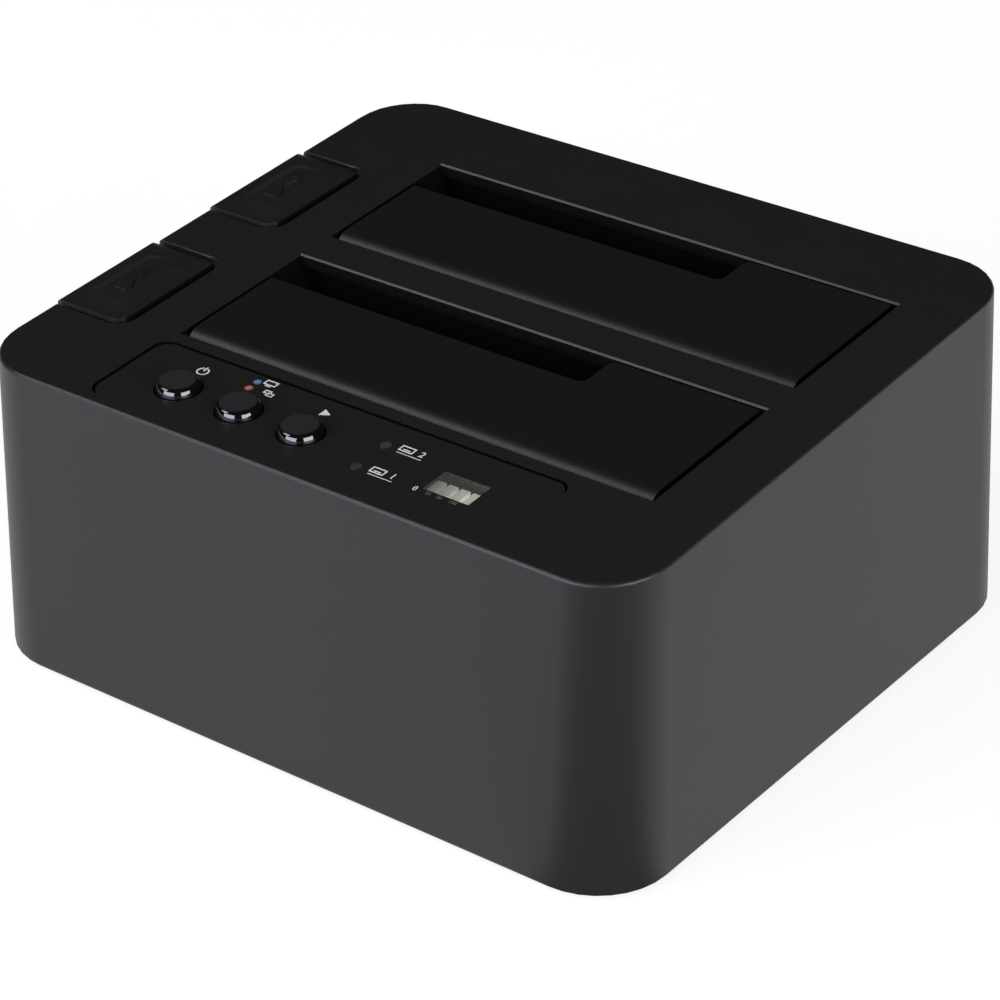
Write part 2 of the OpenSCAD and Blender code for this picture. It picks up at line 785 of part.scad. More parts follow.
module eject_button(i) {
    low = cap_low(i);
    stem_low = pivot_z + lever_up + part_gap + stem_r;
    pocket_left = outer_skirt_t - top_half_w;
    pocket_w = eject_x - skirt_t - pocket_left;
    pad_l = eject_d - 2 * pad_inset;
    pad_w = eject_w - 2 * pad_inset;
    color(black) union() {
        difference() {
            intersection() {
                translate([0, 0, low]) linear_extrude(far) eject_plan(i, 0);
                case_form(0, eject_proud, foot_h, edge_r, foot_edge_r);
            }
            intersection() {
                translate([pocket_left, eject_y(i) - eject_d / 2 + skirt_t, low - eps])
                    cube([pocket_w, eject_d - 2 * skirt_t, far]);
                on_top() translate([-far / 2, -far / 2, -far - cap_t]) cube(far);
            }
            eject_fall(i);
        }
        on_top() translate([eject_x - pad_inset - pad_w / 2, along(eject_y(i)), eject_proud - eps])
            linear_extrude(pad_h) round_rect(pad_w, pad_l, pad_inset);
        translate([shutter_in - top_half_w, eject_y(i) - eject_d / 2 + eps, low - eject_travel - shutter_over])
            cube([shutter_t, eject_d - 2 * eps, eject_travel + shutter_over + skirt_t]);
        translate([stem_x, eject_y(i), stem_low]) {
            cylinder(r = stem_r, h = cap_under(i) - stem_low + cap_t / 2);
            sphere(stem_r);
        }
    }
}

module front_eject_button() { eject_button(0); }
module rear_eject_button() { eject_button(1); }

module eject_spring(i) {
    low = shelf_z + shelf_t + eject_wire / 2 + seat_gap;
    high = cap_under(i) - eject_wire / 2 - 2 * seat_gap;
    color(steel) translate([stem_x, eject_y(i), low]) rotate([0, -90, 0])
        spring(eject_coil_r, eject_wire, (high - low) / eject_spring_turns, eject_spring_turns, 0, 0);
}

module front_eject_spring() { eject_spring(0); }
module rear_eject_spring() { eject_spring(1); }

module eject_lever(i) {
    tail = pivot_x - stem_x + lever_tail;
    reach = finger_x + finger_t / 2 - pivot_x;
    color(dark) translate([pivot_x, eject_y(i), pivot_z]) difference() {
        union() {
            translate([-tail, -lever_w / 2, -lever_down]) cube([tail, lever_w, lever_up + lever_down]);
            translate([0, -lever_w / 2, -lever_down]) cube([reach, lever_w, lever_thin + lever_down]);
            translate([reach - finger_t, -lever_w / 2, 0])
                cube([finger_t, lever_w, bay_floor_z - part_gap - pivot_z]);
            rotate([90, 0, 0]) cylinder(r = hub_r, h = lever_w, center = true);
        }
        rotate([90, 0, 0]) cylinder(d = lever_pin_d + 2 * run_gap, h = far, center = true);
    }
}

module front_eject_lever() { eject_lever(0); }
module rear_eject_lever() { eject_lever(1); }

module lever_pin(i) {
    color(steel) translate([pivot_x, eject_y(i), pivot_z]) rotate([90, 0, 0])
        cylinder(d = lever_pin_d, h = 2 * leg_out, center = true);
}

module front_lever_pin() { lever_pin(0); }
module rear_lever_pin() { lever_pin(1); }

module eject_bracket(i) {
    left = stem_x - bracket_left;
    wide = pivot_x + bracket_right - left;
    color(dark) difference() {
        translate([0, eject_y(i), 0]) {
            for (y = [-leg_out, leg_in]) translate([left, y, base_top]) cube([wide, leg_t, shelf_z - base_top + eps]);
            translate([left, -leg_out, shelf_z]) cube([wide, 2 * leg_out, shelf_t]);
            for (y = [-leg_out - flange_l, leg_out - eps])
                translate([left, y, base_top]) cube([wide, flange_l + eps, flange_t]);
        }
        translate([stem_x, eject_y(i), shelf_z - cut_over]) cylinder(r = stem_r + run_gap, h = far);
        translate([pivot_x, eject_y(i), pivot_z]) rotate([90, 0, 0])
            cylinder(d = lever_pin_d + seat_gap, h = far, center = true);
        for (y = [-1, 1])
            translate([flange_screw_x, eject_y(i) + y * flange_screw_y, 0])
                cylinder(d = bracket_screw_d + screw_gap, h = shelf_z / 2);
    }
}

module front_eject_bracket() { eject_bracket(0); }
module rear_eject_bracket() { eject_bracket(1); }

module bracket_screws() {
    color(steel) for (i = [0, 1]) for (y = [-1, 1])
        translate([flange_screw_x, eject_y(i) + y * flange_screw_y, base_top + flange_t])
            screw(bracket_screw_d, bracket_screw_l, bracket_screw_head_d, bracket_screw_head_h);
}

// Control panel

module control_panel() {
    color(dark) on_top() translate([0, 0, -panel_t]) linear_extrude(panel_t) difference() {
        translate([0, panel_front + panel_d / 2]) round_rect(panel_w, panel_d, panel_r);
        panel_holes(button_d / 2 + button_room, seat_gap);
        translate([window_x, window_v])
            square([window_w + 2 * seat_gap, window_d + 2 * seat_gap], center = true);
    }
}

// Half section of a round button, from its stalk up to its tapered side and flat top
module button_section() {
    r = button_d / 2;
    flange_top = -wall - button_lift;
    flange_low = flange_top - button_flange_t;
    shoulder = button_proud - button_edge;
    polygon([
        [0, flange_low - stalk_l], [stalk_r, flange_low - stalk_l], [stalk_r, flange_low],
        [button_flange_r, flange_low], [button_flange_r, flange_top], [r, flange_top], [r, button_foot],
        [r - button_taper, shoulder], [r - button_taper - button_edge, button_proud], [0, button_proud]
    ]);
}

module round_button(k) {
    color(dark) on_top() translate([buttons[k], button_v, 0]) rotate_extrude() button_section();
}

module power_button() { round_button(0); }
module mode_button() { round_button(1); }
module start_button() { round_button(2); }

// A light pipe from the panel's face down to its lamp on the button board
module light_pipe(x, v, d) {
    pipe_l = board_drop - led_h - pipe_gap;
    on_top() translate([x, v, -pipe_l]) cylinder(d = d, h = pipe_l);
}

module blue_indicator() { color("#4a74b8") light_pipe(mode_led_x, mode_led_v[0], mode_led_d); }
module orange_indicator() { color("#c8603c") light_pipe(mode_led_x, mode_led_v[1], mode_led_d); }
module first_drive_indicator() { color("#3a2c2c") light_pipe(drive_led_x, drive_led_v[0], drive_led_d); }
module second_drive_indicator() { color("#2e2e2e") light_pipe(drive_led_x, drive_led_v[1], drive_led_d); }

module progress_window() {
    color(smoke) on_top() translate([window_x, window_v, -window_t / 2])
        cube([window_w, window_d, window_t], center = true);
}

module progress_bars() {
    span = bar_count * bar_w + (bar_count - 1) * bar_gap;
    bar_l = board_drop - window_t - seat_gap;
    color("#d8d8d4") on_top() for (k = [0:bar_count - 1])
        translate([
            window_x - span / 2 + k * (bar_w + bar_gap), window_v - window_d / 2 + bar_front, -board_drop
        ])
            cube([bar_w, bar_d, bar_l]);
}

module button_board() {
    color(green) on_top() difference() {
        translate([-board_w / 2, board_mid_v - board_d / 2, -board_drop - board_t]) cube([board_w, board_d, board_t]);
        for (x = [-1, 1]) for (v = [-1, 1])
            translate([x * hanger_x, board_mid_v + v * hanger_v, -far / 2])
                cylinder(d = hanger_screw_d + screw_gap, h = far);
    }
}

module button_board_screws() {
    color(steel) on_top() for (x = [-1, 1]) for (v = [-1, 1])
        translate([x * hanger_x, board_mid_v + v * hanger_v, -board_drop - board_t]) rotate([180, 0, 0])
            screw(hanger_screw_d, hanger_screw_l, hanger_screw_head_d, hanger_screw_head_h);
}

module push_switches() {
    color("#8c8f93") on_top() for (x = buttons) translate([x, button_v, -board_drop]) difference() {
        translate([-switch_s / 2, -switch_s / 2, 0]) cube([switch_s, switch_s, switch_h]);
        translate([0, 0, switch_h - switch_well]) cylinder(r = switch_well_r, h = far);
    }
}

module panel_leds() {
    spots = concat(
        [for (v = mode_led_v) [mode_led_x, v]],
        [for (v = drive_led_v) [drive_led_x, v]]
    );
    color("#e6e2c8") on_top() for (s = spots)
        translate([s[0] - led_s / 2, s[1] - led_s / 2, -board_drop]) cube([led_s, led_s, led_h]);
}

module cable_headers() {
    color("#d9d4c4") {
        on_top() translate([cable_x - header_w / 2, header_v - header_d / 2, -board_drop - board_t - header_h])
            cube([header_w, header_d, header_h]);
        translate([cable_x - header_w / 2, header_point[0] - header_d / 2, board_top])
            cube([header_w, header_d, header_h]);
    }
}

module panel_cable() {
    low = board_top + header_h;
    high = header_point[1] - part_gap;
    color("#8d8f92") translate([cable_x - cable_w / 2, header_point[0] - cable_t / 2, low])
        cube([cable_w, cable_t, high - low]);
}

// Main board and its sockets

module main_board() {
    color(green) difference() {
        translate([board_left, board_front, board_z]) cube([board_right - board_left, board_rear - board_front, board_t]);
        for (s = standoffs) translate([s[0], s[1], 0]) cylinder(d = board_screw_d + screw_gap, h = far);
    }
}

module board_screws() {
    color(steel) for (s = standoffs)
        translate([s[0], s[1], board_top])
            screw(board_screw_d, board_screw_l, board_screw_head_d, board_screw_head_h);
}

module drive_socket(i) {
    keys_w = power_key_w + key_apart + signal_key_w;
    color(rubber) translate([sata_x, sata_y(i), 0]) difference() {
        union() {
            translate([-sata_w / 2 - sata_flange, -sata_d / 2 - sata_flange / 2, board_top])
                cube([sata_w + 2 * sata_flange, sata_d + sata_flange, sata_shoulder - board_top]);
            translate([-sata_w / 2, -sata_d / 2, board_top]) cube([sata_w, sata_d, sata_top - board_top]);
        }
        translate([-keys_w / 2, -key_d / 2, sata_top - key_deep]) cube([power_key_w, key_d, far]);
        translate([keys_w / 2 - signal_key_w, -key_d / 2, sata_top - key_deep]) cube([signal_key_w, key_d, far]);
    }
}

module front_drive_socket() { drive_socket(0); }
module rear_drive_socket() { drive_socket(1); }

// A metal shell, open to the rear, with a tongue in the middle
module port(x, size, tongue) {
    translate([x, port_front, board_top]) difference() {
        translate([-size[0] / 2, -size[1], 0]) cube(size);
        difference() {
            translate([shell_t - size[0] / 2, -port_deep, shell_t])
                cube([size[0] - 2 * shell_t, far, size[2] - 2 * shell_t]);
            translate([-tongue[0] / 2, -size[1], (size[2] - tongue[1]) / 2]) cube([tongue[0], size[1] - shell_t, tongue[1]]);
        }
    }
}

module usb_port() { color("#aeb2b8") port(usb_x, usb_size, usb_tongue); }
module esata_port() { color("#aeb2b8") port(esata_x, esata_size, esata_tongue); }

module power_jack() {
    color(rubber) translate([jack_x, port_front, board_top]) difference() {
        translate([-jack_size[0] / 2, -jack_size[1], 0]) cube(jack_size);
        translate([0, eps, jack_size[2] / 2]) rotate([90, 0, 0]) difference() {
            cylinder(r = jack_r, h = jack_deep);
            translate([0, 0, jack_pin_in]) cylinder(r = jack_pin_r, h = jack_deep);
        }
    }
}

module controller_chips() {
    color("#26282b") for (c = chips)
        translate([c[0] - c[2] / 2, c[1] - c[2] / 2, board_top]) cube([c[2], c[2], c[3]]);
}

module capacitors() {
    color("#3c4250") for (c = cans) translate([c[0], c[1], board_top]) cylinder(r = can_r, h = can_h);
}

top_cover();
base_plate();
rubber_feet();
case_screws();
front_bay_liner();
rear_bay_liner();
liner_screws();
front_flap();
rear_flap();
front_flap_pin();
rear_flap_pin();
front_flap_spring();
rear_flap_spring();
front_eject_button();
rear_eject_button();
front_eject_spring();
rear_eject_spring();
front_eject_lever();
rear_eject_lever();
front_lever_pin();
rear_lever_pin();
front_eject_bracket();
rear_eject_bracket();
bracket_screws();
control_panel();
power_button();
mode_button();
start_button();
blue_indicator();
orange_indicator();
first_drive_indicator();
second_drive_indicator();
progress_window();
progress_bars();
button_board();
button_board_screws();
push_switches();
panel_leds();
cable_headers();
panel_cable();
main_board();
board_screws();
front_drive_socket();
rear_drive_socket();
usb_port();
esata_port();
power_jack();
controller_chips();
capacitors();
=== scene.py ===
# Two-bay drive dock: the looks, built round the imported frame, in metres and on the CAD's own axes
import json
import math

import bpy
from mathutils import Matrix, Vector


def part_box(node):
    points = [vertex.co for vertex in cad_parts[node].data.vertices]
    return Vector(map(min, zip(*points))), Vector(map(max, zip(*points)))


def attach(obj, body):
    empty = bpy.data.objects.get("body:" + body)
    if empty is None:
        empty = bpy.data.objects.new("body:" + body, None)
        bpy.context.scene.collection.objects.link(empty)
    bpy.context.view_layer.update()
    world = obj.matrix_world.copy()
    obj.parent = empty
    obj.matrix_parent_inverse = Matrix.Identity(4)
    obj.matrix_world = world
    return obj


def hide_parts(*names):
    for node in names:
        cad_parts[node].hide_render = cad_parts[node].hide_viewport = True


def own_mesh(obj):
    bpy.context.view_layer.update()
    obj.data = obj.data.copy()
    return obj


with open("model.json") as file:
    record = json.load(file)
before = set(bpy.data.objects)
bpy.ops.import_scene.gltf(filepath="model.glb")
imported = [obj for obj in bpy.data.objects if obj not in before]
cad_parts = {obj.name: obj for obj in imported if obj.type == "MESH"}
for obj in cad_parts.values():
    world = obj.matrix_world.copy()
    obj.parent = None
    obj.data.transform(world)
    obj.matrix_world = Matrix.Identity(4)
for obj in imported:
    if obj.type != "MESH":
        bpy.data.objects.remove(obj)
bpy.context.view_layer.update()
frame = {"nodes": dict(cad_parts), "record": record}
mm = 0.001
bodies = frame["record"]["behaviour"]["bodies"]
bodyOfNode = {node: body for body, nodes in bodies.items() for node in nodes}

# The sloped top, in mm and degrees as in the CAD
top = {"height": 64.6, "slope": 3.4}
topTurn = Matrix.Rotation(math.radians(top["slope"]), 4, "X")
topFrame = Matrix.Translation((0, 0, top["height"] * mm)) @ topTurn
topInverse = topFrame.inverted()
topNormal = topFrame.to_3x3() @ Vector((0, 0, 1))

# How skins are cleaned: points this close in mm are one, faces this flat in degrees are one
skinning = {"merge": 0.003, "flat": 0.4, "segments": 2}
# A face whose normal has more than this along an axis faces that way
facesAlong = 0.9


# Small helpers

def activate(piece):
    bpy.ops.object.select_all(action="DESELECT")
    piece.select_set(True)
    bpy.context.view_layer.objects.active = piece


def editAll(piece):
    activate(piece)
    bpy.ops.object.mode_set(mode="EDIT")
    bpy.ops.mesh.select_all(action="SELECT")


def leaveEdit():
    bpy.ops.object.mode_set(mode="OBJECT")


def selectFaces(piece, test):
    # picks the faces that pass a test on their centre and normal, from object mode into face mode
    activate(piece)
    bpy.ops.object.mode_set(mode="EDIT")
    bpy.ops.mesh.select_mode(type="FACE")
    bpy.ops.mesh.select_all(action="DESELECT")
    bpy.ops.object.mode_set(mode="OBJECT")
    for face in piece.data.polygons:
        face.select = test(face.center, face.normal)
    bpy.ops.object.mode_set(mode="EDIT")


def selectEdges(piece, test):
    # picks the edges that pass a test on their two ends
    activate(piece)
    bpy.ops.object.mode_set(mode="EDIT")
    bpy.ops.mesh.select_mode(type="EDGE")
    bpy.ops.mesh.select_all(action="DESELECT")
    bpy.ops.object.mode_set(mode="OBJECT")
    points = piece.data.vertices
    for edge in piece.data.edges:
        edge.select = test(points[edge.vertices[0]].co, points[edge.vertices[1]].co)
    bpy.ops.object.mode_set(mode="EDIT")


def applyModifier(piece, kind, **settings):
    activate(piece)
    modifier = piece.modifiers.new(kind.lower(), kind)
    for name, value in settings.items():
        setattr(modifier, name, value)
    bpy.ops.object.modifier_apply(modifier=modifier.name)


def settle(piece):
    # bakes a piece's place, turn and size into its mesh
    activate(piece)
    bpy.ops.object.transform_apply(location=True, rotation=True, scale=True)


def placeOnTop(piece, x, y, lift):
    # lays a piece made flat at the origin on the sloped top
    along = y / math.cos(math.radians(top["slope"]))
    piece.matrix_world = topFrame @ Matrix.Translation((x * mm, along * mm, lift * mm)) @ piece.matrix_world
    settle(piece)


def joinPieces(pieces, name):
    activate(pieces[0])
    for piece in pieces:
        piece.select_set(True)
    bpy.ops.object.join()
    joined = bpy.context.view_layer.objects.active
    joined.name = name
    return joined


def smooth(piece, angle):
    activate(piece)
    bpy.ops.object.shade_smooth_by_angle(angle=math.radians(angle))


def newBlock(name, size, place=(0, 0, 0)):
    # a box of a size in mm, to be shaped further
    bpy.ops.object.select_all(action="DESELECT")
    bpy.ops.mesh.primitive_cube_add(size=1, location=[v * mm for v in place])
    block = bpy.context.object
    block.name = name
    block.scale = [v * mm for v in size]
    settle(block)
    return block


def wear(piece, material, body, slot, *nodes):
    # gives a piece its finish, its body and the CAD nodes that it stands for
    piece.data.materials.clear()
    piece.data.materials.append(material)
    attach(piece, body)
    if nodes:
        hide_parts(*nodes)
    return piece


def flattenAbove(skin, level):
    # presses what stands higher than a level down to it, to clear the place of a finer piece
    for point in skin.data.vertices:
        spot = topInverse @ point.co
        if spot.z > level * mm:
            spot.z = level * mm
            point.co = topFrame @ spot
    editAll(skin)
    bpy.ops.mesh.remove_doubles(threshold=skinning["merge"] * mm)
    leaveEdit()


def dressNode(node, material, slot, bevel=0.0, angle=35.0, shape=None, weight=50):
    # a merged, eased and smoothed copy of a CAD node, in the node's own place
    # a weight over 50 lets the largest faces set the shading
    skin = bpy.data.objects.new(node + "_skin", frame["nodes"][node].data.copy())
    bpy.context.scene.collection.objects.link(skin)
    editAll(skin)
    bpy.ops.mesh.remove_doubles(threshold=skinning["merge"] * mm)
    bpy.ops.mesh.dissolve_limited(angle_limit=math.radians(skinning["flat"]))
    leaveEdit()
    if shape:
        shape(skin)
    if bevel:
        applyModifier(
            skin, "BEVEL", width=bevel * mm, segments=skinning["segments"], limit_method="ANGLE",
            angle_limit=math.radians(angle),
        )
    smooth(skin, angle)
    applyModifier(skin, "WEIGHTED_NORMAL", keep_sharp=True, weight=weight)
    return wear(skin, material, bodyOfNode[node], slot, node)


# Materials

def hexColour(code):
    channels = [int(code[i:i + 2], 16) / 255 for i in (1, 3, 5)]
    linear = [c / 12.92 if c <= 0.04045 else ((c + 0.055) / 1.055) ** 2.4 for c in channels]
    return (*linear, 1.0)


def addNode(tree, kind, values=None, links=None, **settings):
    node = tree.nodes.new(kind)
    for name, value in settings.items():
        setattr(node, name, value)
    for name, value in (values or {}).items():
        node.inputs[name].default_value = value
    for name, source in (links or {}).items():
        tree.links.new(source, node.inputs[name])
    return node


def newMaterial(name):
    material = bpy.data.materials.new(name)
    material.use_nodes = True
    return material, material.node_tree, material.node_tree.nodes["Principled BSDF"]


def perMetre(size):
    # noise scale that gives blotches of about this many mm
    return 1 / (size * mm)


noise = {"patchDetail": 3.0, "grainDetail": 2.0, "glossSpread": 0.04}


def plainFinish(
    name, colour, other, roughness, ior=1.5, grain=0.6, bump=0.02, metallic=0.0, patch=14.0, specular=0.5
):
    # a moulded or machined surface: two close colours in soft patches, a fine grain in gloss and bump
    material, tree, shader = newMaterial(name)
    place = addNode(tree, "ShaderNodeTexCoord").outputs["Object"]
    cloud = addNode(
        tree, "ShaderNodeTexNoise", {"Scale": perMetre(patch), "Detail": noise["patchDetail"]},
        {"Vector": place},
    )
    fine = addNode(
        tree, "ShaderNodeTexNoise", {"Scale": perMetre(grain), "Detail": noise["grainDetail"]},
        {"Vector": place},
    )
    tint = addNode(
        tree, "ShaderNodeMix", {6: hexColour(colour), 7: hexColour(other)}, {0: cloud.outputs["Fac"]},
        data_type="RGBA",
    )
    tree.links.new(tint.outputs[2], shader.inputs["Base Color"])
    gloss = addNode(
        tree, "ShaderNodeMapRange",
        {"To Min": roughness - noise["glossSpread"], "To Max": roughness + noise["glossSpread"]},
        {"Value": fine.outputs["Fac"]},
    )
    tree.links.new(gloss.outputs["Result"], shader.inputs["Roughness"])
    relief = addNode(
        tree, "ShaderNodeBump", {"Strength": 1.0, "Distance": bump * mm}, {"Height": fine.outputs["Fac"]}
    )
    tree.links.new(relief.outputs["Normal"], shader.inputs["Normal"])
    shader.inputs["IOR"].default_value = ior
    shader.inputs["Metallic"].default_value = metallic
    shader.inputs["Specular IOR Level"].default_value = specular
    return material


# ABS moulded on a spark-eroded tool: matt black, a little grey where it mirrors pale things at a slant
caseAbs = plainFinish("moulded black ABS", "#131310", "#161613", 0.42, grain=0.5, bump=0.012)
# the same ABS from a finer tool: the flaps look a shade blacker than the case
flapAbs = plainFinish("fine textured black ABS", "#070706", "#0a0a08", 0.46, grain=0.4, bump=0.010)
# ABS inside the case, left unpainted: near black and flat, darker than the case as painted shade, so the
# wells swallow the light
shadedInnerAbs = plainFinish(
    "plain black ABS", "#040404", "#050505", 0.85, grain=0.8, bump=0.01, specular=0.08
)
# printed polycarbonate overlay: smooth and satin, even black
panelFilm = plainFinish(
    "satin polycarbonate film", "#131310", "#161613", 0.38, ior=1.52, grain=0.7, bump=0.003
)
# piano black ABS, polished in the mould: mirrors the lamps as sharp white patches
buttonGloss = plainFinish(
    "polished black ABS", "#060606", "#080808", 0.06, ior=1.75, grain=3.0, bump=0.001
)
# spark-eroded cap of a button: dull, a touch lighter than the panel round it
buttonMatt = plainFinish("matt black button cap", "#1a1a1b", "#1e1e1e", 0.55, grain=0.3, bump=0.010)
# silk-screen ink: flat off-white with faint thin spots
legendInk = plainFinish("white screen ink", "#d4d4d2", "#c4c4c2", 0.7, grain=0.3, bump=0.004, patch=1.2)
# the same screen ink, thinned: grey figures that hardly show
dimInk = plainFinish("grey screen ink", "#5a5a57", "#4e4e4b", 0.7, grain=0.3, bump=0.004, patch=1.2)
# soft feet: dead black, dusty
footRubber = plainFinish("moulded rubber", "#141414", "#1c1c1c", 0.85, ior=1.52, grain=0.5, bump=0.03)
# bright zinc over rolled steel: cool grey, a little cloudy
zincSteel = plainFinish(
    "zinc plated steel", "#b4b8bc", "#9ea2a6", 0.32, grain=0.4, bump=0.006, metallic=1.0, patch=3
)
# centreless ground rod: clean and bright
groundSteel = plainFinish(
    "ground steel rod", "#c4c5c8", "#b6b7ba", 0.22, grain=0.25, bump=0.003, metallic=1.0
)
# drawn wire with a trace of oil: darker and streaky
springSteel = plainFinish(
    "drawn spring wire", "#8f9194", "#7d7f82", 0.3, grain=0.3, bump=0.004, metallic=1.0, patch=2
)
# solder mask over glass laminate: glossy dark green, copper ghosting under it
boardLaminate = plainFinish(
    "green solder mask", "#12401f", "#1b5a2c", 0.3, ior=1.55, grain=1.6, bump=0.01, patch=4
)
# tin plated pressings of the small switches
switchMetal = plainFinish(
    "tin plated steel", "#a8abae", "#94979a", 0.35, grain=0.4, bump=0.006, metallic=1.0
)
# milky epoxy over the lamp chips
ledResin = plainFinish("milky epoxy", "#e0dcc2", "#d2ceb4", 0.3, ior=1.55, grain=0.6, bump=0.004)
# uncoloured nylon connectors
headerNylon = plainFinish("natural nylon", "#d8d2be", "#cac4b0", 0.5, ior=1.53, grain=0.7, bump=0.008)
# glass filled black nylon of the sockets
socketNylon = plainFinish(
    "black glass filled nylon", "#0c0c0d", "#131314", 0.45, ior=1.53, grain=0.5, bump=0.010
)
# bright nickel over pressed steel: the port shells
nickelShell = plainFinish(
    "nickel plated steel", "#b9b4aa", "#a8a399", 0.24, grain=0.3, bump=0.004, metallic=1.0
)
# thin gold over copper alloy: the contact blades
goldContact = plainFinish(
    "gold plated contact", "#d9a441", "#c9922f", 0.25, grain=0.3, bump=0.003, metallic=1.0
)
# moulded epoxy packages: charcoal, dull
chipEpoxy = plainFinish(
    "moulded chip epoxy", "#1c1d1f", "#242527", 0.6, ior=1.55, grain=0.3, bump=0.008
)
# printed plastic sleeve shrunk on an aluminium can
canSleeve = plainFinish(
    "shrunk blue-black sleeve", "#2b3040", "#343a4c", 0.3, ior=1.5, grain=0.9, bump=0.004
)


# painted glow of a lens: the pale core colour within core times the radius, fading to the rim colour by rim
# times the radius
lens = {"core": 0.35, "rim": 1.05, "roughness": 0.3, "ior": 1.49}


def lensGlowFinish(name, node, core, rim):
    # dyed acrylic light pipe: paler over its lamp, a painted glow, and darker towards its rim
    material, tree, shader = newMaterial(name)
    low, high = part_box(node)
    middle = topInverse @ ((Vector(low) + Vector(high)) / 2)
    middle = topFrame @ Vector((middle.x, middle.y, 0))
    radius = (high[0] - low[0]) / 2
    place = addNode(tree, "ShaderNodeTexCoord").outputs["Object"]
    away = addNode(
        tree, "ShaderNodeVectorMath", {1: middle}, {0: place}, operation="DISTANCE"
    ).outputs["Value"]
    glowFade = addNode(
        tree, "ShaderNodeMapRange", {"From Min": lens["core"] * radius, "From Max": lens["rim"] * radius},
        {"Value": away}, interpolation_type="SMOOTHSTEP",
    ).outputs["Result"]
    tint = addNode(
        tree, "ShaderNodeMix", {6: hexColour(core), 7: hexColour(rim)}, {0: glowFade}, data_type="RGBA"
    ).outputs[2]
    tree.links.new(tint, shader.inputs["Base Color"])
    shader.inputs["Roughness"].default_value = lens["roughness"]
    shader.inputs["IOR"].default_value = lens["ior"]
    return material


blueLens = lensGlowFinish("blue acrylic lens", "blue_indicator", "#617a9e", "#30405c")
orangeLens = lensGlowFinish("orange acrylic lens", "orange_indicator", "#a86e60", "#583026")
greyLens = lensGlowFinish("smoked acrylic lens", "second_drive_indicator", "#333331", "#2a2a29")
redLens = lensGlowFinish("smoked red acrylic lens", "first_drive_indicator", "#332e2d", "#2a2524")


ribbon = {"pitch": 1.27, "relief": 0.15, "groove": "#6c6e71", "core": "#96989b", "roughness": 0.5}


def ribbonFinish():
    # grey flat cable: a row of round cores pressed side by side, seen as fine ribs, with painted shade
    # darkening the grooves between them
    material, tree, shader = newMaterial("grey ribbon cable")
    place = addNode(tree, "ShaderNodeTexCoord").outputs["Object"]
    cores = addNode(
        tree, "ShaderNodeTexWave", {"Scale": perMetre(ribbon["pitch"]) / math.pi / 2}, {"Vector": place},
        wave_type="BANDS", bands_direction="X",
    )
    tint = addNode(
        tree, "ShaderNodeMix", {6: hexColour(ribbon["groove"]), 7: hexColour(ribbon["core"])},
        {0: cores.outputs["Fac"]}, data_type="RGBA",
    )
    tree.links.new(tint.outputs[2], shader.inputs["Base Color"])
    relief = addNode(
        tree, "ShaderNodeBump", {"Distance": ribbon["relief"] * mm}, {"Height": cores.outputs["Fac"]}
    )
    tree.links.new(relief.outputs["Normal"], shader.inputs["Normal"])
    shader.inputs["Roughness"].default_value = ribbon["roughness"]
    return material


window = {
    "haze": 2.5, "detail": 2.0, "clear": 0.06, "dull": 0.14, "tint": "#4e4f46", "ior": 1.49,
    "alpha": 0.4,
}


def windowFinish():
    # smoked acrylic sheet: grey-green, clear enough to show the bars below it
    material, tree, shader = newMaterial("smoked acrylic sheet")
    place = addNode(tree, "ShaderNodeTexCoord").outputs["Object"]
    haze = addNode(
        tree, "ShaderNodeTexNoise", {"Scale": perMetre(window["haze"]), "Detail": window["detail"]},
        {"Vector": place},
    )
    gloss = addNode(
        tree, "ShaderNodeMapRange", {"To Min": window["clear"], "To Max": window["dull"]},
        {"Value": haze.outputs["Fac"]},
    )
    tree.links.new(gloss.outputs["Result"], shader.inputs["Roughness"])
    shader.inputs["Base Color"].default_value = hexColour(window["tint"])
    shader.inputs["IOR"].default_value = window["ior"]
    shader.inputs["Alpha"].default_value = window["alpha"]
    return material


# painted glow of the bars: emission from dim to bright across x, between the given mm
bars = {
    "from": 25.0, "to": 32.0, "dim": 0.05, "bright": 0.75, "light": "#f2f2e6", "body": "#dcdcd2",
    "roughness": 0.35,
}


def barGlowFinish():
    # opal acrylic light guides: milky, with a painted glow standing in for the light that reaches them
    # through the window, brighter along the row to the last one
    material, tree, shader = newMaterial("opal acrylic")
    place = addNode(tree, "ShaderNodeTexCoord").outputs["Object"]
    across = addNode(tree, "ShaderNodeSeparateXYZ", links={"Vector": place}).outputs["X"]
    rise = addNode(
        tree, "ShaderNodeMapRange",
        {
            "From Min": bars["from"] * mm, "From Max": bars["to"] * mm,
            "To Min": bars["dim"], "To Max": bars["bright"],
        },
        {"Value": across},
    )
    tree.links.new(rise.outputs["Result"], shader.inputs["Emission Strength"])
    shader.inputs["Emission Color"].default_value = hexColour(bars["light"])
    shader.inputs["Base Color"].default_value = hexColour(bars["body"])
    shader.inputs["Roughness"].default_value = bars["roughness"]
    return material


ribbonPvc = ribbonFinish()
smokedAcrylic = windowFinish()
opalGlowAcrylic = barGlowFinish()
print("materials ready")


# Camera at the photograph's angle, from its own fitted values
camera = {
    "azimuth": 37.403, "elevation": 30.009, "roll": -0.821,
    "target": (0.005748, -0.008523, 0.0314), "distance": 0.63804, "lens": 125.48,
    "sensor": 36, "near": 0.01,
}


def facing(azimuth, elevation):
    # unit vector from the object towards a place round it, azimuth from the front towards the right
    az, el = math.radians(azimuth), math.radians(elevation)
    return Vector((math.sin(az) * math.cos(el), -math.cos(az) * math.cos(el), math.sin(el)))


